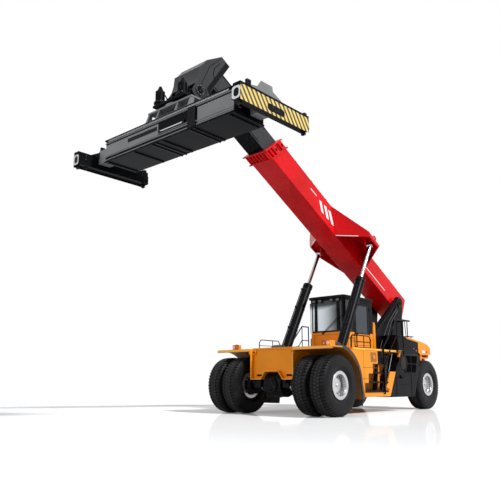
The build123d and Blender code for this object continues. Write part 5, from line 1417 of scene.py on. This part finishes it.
@dataclass
class Spreader(Assembly):
    """Rails, panels, cylinders and ribs of the spreader, and its end beams' fittings."""

    front_x: float = 4.50
    end_y: float = 3.145
    end_x: tuple[float, float] = (2.63, 5.07)

    def on_beam(self, name: str, finish: Material, bevel: float = 0.0) -> Shape:
        """Start a piece of the main beam."""
        return self.start(name, finish, bevel, body=Body.SPREADER)

    def build(self) -> None:
        """Dress the main beam and both end beams."""
        f, x = self.finish, self.front_x
        panels = self.on_beam("beam_panels", f.pale, 0.002).block((x, 1.24, 6.90), (x + 0.010, 2.43, 7.30))
        panels.block((x, -2.43, 6.99), (x + 0.010, -0.20, 7.30))
        panels.block((x, -2.43, 6.86), (x + 0.016, 2.43, 6.885))
        rails = self.on_beam("beam_rails", f.pale, 0.002).block((x, -0.2, 7.0), (x + 0.02, 0.9, 7.02))
        for z, out in ((6.945, 0.030), (7.335, 0.034)):
            rails.block((x, -2.44, z), (x + out, 2.44, z + 0.022))
        dark = self.on_beam("beam_recesses", f.black, 0.002)
        # Painted shade: a thin black sheet stands for the long recess.
        dark.block((x + 0.008, -1.45, 7.13), (x + 0.013, -0.25, 7.24))
        dark.block((x, 0.92, 6.84), (x + 0.042, 1.20, 7.37))
        for y in (-0.16, 0.72):
            dark.block((x, y, 7.02), (x + 0.040, y + 0.08, 7.12))
        rod = self.on_beam("shift_rod", f.chrome)
        rod.tube([(x + 0.022, -0.10, 7.07), (x + 0.022, 0.74, 7.07)], 0.019, 16)
        ribs = self.on_beam("beam_ribs", f.black, 0.003)
        for y in (-0.42, -0.26, 1.0, 1.16):
            ribs.block((3.47, y - 0.02, 6.775), (4.53, y + 0.02, 6.801))
        bolts = self.on_beam("beam_bolts", f.steel)
        for y in (1.30, -2.38):
            bolts.repeat(nut((x + 0.010, y, 7.28), X, 0.012, 0.010), Repeat.ROW, 10, (0, 0.11, 0))
        pipes = self.on_beam("beam_pipes", f.steel)
        for z in (7.385, 7.412):
            pipes.tube([(x + 0.030, -2.3, z), (x + 0.030, 2.3, z)], 0.009, 8)
        self.rear_face()
        for label, side in SIDES:
            self.end(label, side)

    def rear_face(self) -> None:
        """Panels, valve block and hoses behind and on top of the main beam."""
        f = self.finish
        plates = self.on_beam("rear_panels", f.dark, 0.003)
        for y in (-2.4, -1.2, 0.1, 1.3):
            plates.prism(rounded_box((y, 6.90), (y + 1.1, 7.34), 0.04), X, 3.492, 3.50)
        valve = self.on_beam("valve_block", f.black, 0.006).block((3.62, -2.28, 7.45), (4.10, -1.83, 7.56))
        valve.block((3.70, 1.85, 7.45), (4.20, 2.25, 7.53))
        hoses = self.on_beam("valve_hoses", f.rubber)
        for k in range(4):
            y = -2.20 + 0.1 * k
            hoses.tube([(4.08, y, 7.50), (4.18, y, 7.53), (4.25, y, 7.49), (4.27, y - 0.2, 7.463)], 0.011, 8)
            hoses.disc((3.75, y, 7.56), Z, 0.025, 0.03, 12)

    def end(self, label: str, side: int) -> None:
        """Hazard panel, castings and fittings of one end beam."""
        f, y = self.finish, self.end_y
        (x0, x1), left = self.end_x, side > 0

        def begin(name: str, finish: Material, bevel: float = 0.0) -> Shape:
            """Start one of the end beam's pieces."""
            return self.start(f"{name}_{label}", finish, bevel, body=f"arm_{label}", sides=(side,))

        begin("hazard_panel", f.hazard).prism(
            [(x0 + 0.02, 6.70), (x1 - 0.012, 6.70), (x1 - 0.012, 7.03), (x1 - 0.10, 7.06), (x0 + 0.02, 7.06)],
            Y, y - 0.006, y - 0.001)
        slot = rounded_box((3.57, 6.760), (4.18, 6.935), 0.08)
        # Painted shade: a black sheet stands for the slot.
        begin("hazard_slot", f.black).prism(slot, Y, y - 0.005, y - 0.0004)
        outer = rounded_box((2.90, 6.74), (3.14, 7.03), 0.06)
        near = 2.95 if left else 2.94
        oval = rounded_box((near, 6.785), (near + 0.15, 6.985), 0.07)
        # Painted shade: black sheets fill the castings' oval holes and a dark strip runs along the hazard
        # panel's foot.
        rings, dark = begin("corner_castings", f.steel, 0.0015), begin("corner_holes", f.black)
        dark.block((x0 + 0.02, y - 0.0125, 6.701), (x1 - 0.012, y - 0.0065, 6.774))
        for level, way in ((x1 - 0.006, 1), (x0 + 0.006, -1)):
            rings.ring_plate(outer, oval, X, level, level + way * 0.0055)
            dark.prism(oval, X, level, level + way * 0.001)
        post = 4.48 if left else 4.24
        fittings = begin("end_fittings", f.black, 0.004)
        for low, high in (((post, 2.86, 7.12), (post + 0.13, 2.93, 7.42)),
                          ((x0 + 0.03, 2.96, 7.115), (x0 + 0.13, 3.10, 7.20)),
                          ((x0 + 0.05, 2.98, 6.70), (x0 + 0.12, 3.08, 6.75)),
                          ((x1 - 0.30, 2.88, 6.66), (x1 - 0.22, 2.92, 6.76))):
            fittings.block(low, high)
        fittings.tube([(x0 + 0.10, 2.95, 7.16), (3.3, 2.94, 7.15), (3.5, 2.93, 7.14)], 0.012, 8)
        rolls = begin("end_actuators", f.dark if left else f.black)
        for x in (x0 + 0.25, x1 - 0.25):
            rolls.collar((x, 2.93, 6.90), Z, (0, 0.035), 0.0, 0.20, 20)
        rolls.block((x0 + 0.40, 2.896, 6.95), (x1 - 0.40, 2.914, 6.965))


# ---- everything --------------------------------------------------------------------------------
@dataclass
class Frame(Assembly):
    """The CAD nodes: refined where they are plates, and painted."""

    plates: dict[str, float] = field(default_factory=lambda: {
        "chassis_frame": 0.006, "deck": 0.005, "body_sides": 0.010, "step_treads": 0.004, "side_tanks": 0.012,
        "boom_mast": 0.006, "hood_sides": 0.010, "counterweight": 0.015, "cab_shell": 0.006,
        "cab_frame": 0.006, "cab_door": 0.004, "outer_boom": 0.014, "boom_collar": 0.005,
        "cylinder_brackets": 0.010,
        "hanger_yoke": 0.006, "arm_left": 0.006, "arm_right": 0.006,
        "cab_seat": 0.03, "engine_block": 0.02, "rotator_frame": 0.005, "spreader_beam": 0.006})

    def build(self) -> None:
        """Refine or paint every node."""
        f = self.finish
        by_slot = {material["slot"]: material for material in vars(f).values()}
        # Painted shade: the fenders' inner faces that look forward or down take the darker orange.
        refined("fenders", (f.orange, f.shaded_orange), 0.008,
                lambda at, way: int(abs(at.y) < 2.085 and at.x < 0.3 and (way.x > 0.2 or way.z < -0.2)))
        refined("hood", (f.orange, f.black), 0.014, lambda at, way: int((at.x + 6.4) * 0.55 > at.z - 1.8),
                split=((-6.4, 0, 1.8), (0.55, 0, -1)))
        # Painted light: the inner boom's side faces are the lighter grey, its top and underside the darker.
        refined("inner_boom", (f.dark, f.section), 0.012, lambda at, way: int(abs(way.y) > 0.7))
        # Painted highlight: the whole boom head is the lighter grey.
        refined("boom_head", (f.section,), 0.012)
        for label, _ in SIDES:
            refined(f"end_beam_{label}", (f.dark, f.pale), 0.006, lambda at, way: int(at.z > 7.2), 0.006)
        for name, bevel in self.plates.items():
            refined(name, (by_slot[SLOT_OF[name]],), bevel)
        for name, thing in frame["nodes"].items():
            thing.data.materials.clear()
            thing.data.materials.append(by_slot[SLOT_OF[name]])


@dataclass
class Studio:
    """Floor, lights and camera."""

    eye: Point = (14.732, 11.12, 0.909)
    heading: float = 0.72892
    tilt: float = 0.21310
    lens: float = 43.71
    floor_r: float = 140.0

    def place(self, name: str, data: object, at: Point = (0, 0, 0),
              way: Optional[Vector] = None) -> bpy.types.Object:
        """Put an object in the scene; a light or a camera looks along its way."""
        made = bpy.data.objects.new(name, data)
        made.location = at
        if way:
            made.rotation_euler = way.to_track_quat("-Z", "Y").to_euler()
        bpy.context.scene.collection.objects.link(made)
        return made

    def floor(self) -> None:
        """A pale floor that takes the shadow."""
        material, tree, shader, vector = blank_material("studio_floor")
        worn = ramp(tree, noise(tree, vector, 0.6, 5.0), 0.3, 0.8)
        seen = mixed(tree, worn, (0.97, 0.97, 0.97, 1), (0.95, 0.95, 0.95, 1))
        reach = node(tree, "ShaderNodeVectorMath", {0: vector}, operation="LENGTH").outputs["Value"]
        near = math_node(tree, "SUBTRACT", 1.0, ramp(tree, reach, 6.0, 15.0), True)
        feed(tree, shader, {"Base Color": mixed(tree, seen_rays(tree), (0.5, 0.5, 0.5, 1), seen),
                            "Roughness": 0.6, "Specular IOR Level": 0.0,
                            "Coat Weight": math_node(tree, "MULTIPLY", near, 0.36),
                            "Coat Roughness": 0.06})
        work = bmesh.new()
        bmesh.ops.create_circle(work, cap_ends=True, segments=96, radius=self.floor_r)
        data = bpy.data.meshes.new("studio_floor")
        work.to_mesh(data)
        work.free()
        data.materials.append(material)
        self.place("studio_floor", data)

    def world(self) -> None:
        """White behind the machine, softer light for its surfaces."""
        world = bpy.data.worlds.new("studio")
        world.use_nodes = True
        tree = world.node_tree
        tree.nodes.clear()
        white = node(tree, "ShaderNodeBackground", {"Color": (1, 1, 1, 1)}).outputs[0]
        soft = node(tree, "ShaderNodeBackground",
                    {"Color": (0.93, 0.96, 1.0, 1), "Strength": 0.38}).outputs[0]
        both = node(tree, "ShaderNodeMixShader", {0: seen_rays(tree), 1: soft, 2: white}).outputs[0]
        node(tree, "ShaderNodeOutputWorld", {0: both})
        bpy.context.scene.world = world

    def light(self, name: str, kind: str, at: Point, energy: float, **settings: object) -> None:
        """Add a light that points at the middle of the machine, with other settings by name."""
        lamp = bpy.data.lights.new(name, kind)
        lamp.energy = energy
        for label, value in settings.items():
            setattr(lamp, label, value)
        self.place(name, lamp, at, Vector((0, 0, 3)) - Vector(at))

    def build(self) -> None:
        """Set the studio up."""
        self.floor()
        self.world()
        self.light("key", "SUN", (-3.0, 22.0, 21.0), 3.7, angle=math.radians(7))
        self.light("fill", "AREA", (24.0, -5.0, 9.0), 1500.0, shape="DISK", size=9.0)
        lens = bpy.data.cameras.new("camera")
        lens.lens = self.lens
        lens.sensor_width = 36.0
        lens.clip_end = 400.0
        level = math.cos(self.tilt)
        away = Vector((-math.cos(self.heading) * level, -math.sin(self.heading) * level, math.sin(self.tilt)))
        bpy.context.scene.camera = self.place("camera", lens, self.eye, away)
        bpy.context.scene.view_settings.view_transform = "Standard"


def main() -> None:
    """Build every assembly in order."""
    logging.basicConfig(level=logging.INFO, format="%(name)s: %(message)s")
    finish = Finishes()
    for kind in (Frame, Wheels, Axles, FrontEnd, Sides, RearEnd, Cab, Mast, Boom, LiftCylinders, Head,
                 Spreader):
        LOG.info("== %s", kind.__name__)
        assembly = kind(finish)
        assembly.build()
        assembly.done()
    Studio().build()


if __name__ == "__main__":
    main()
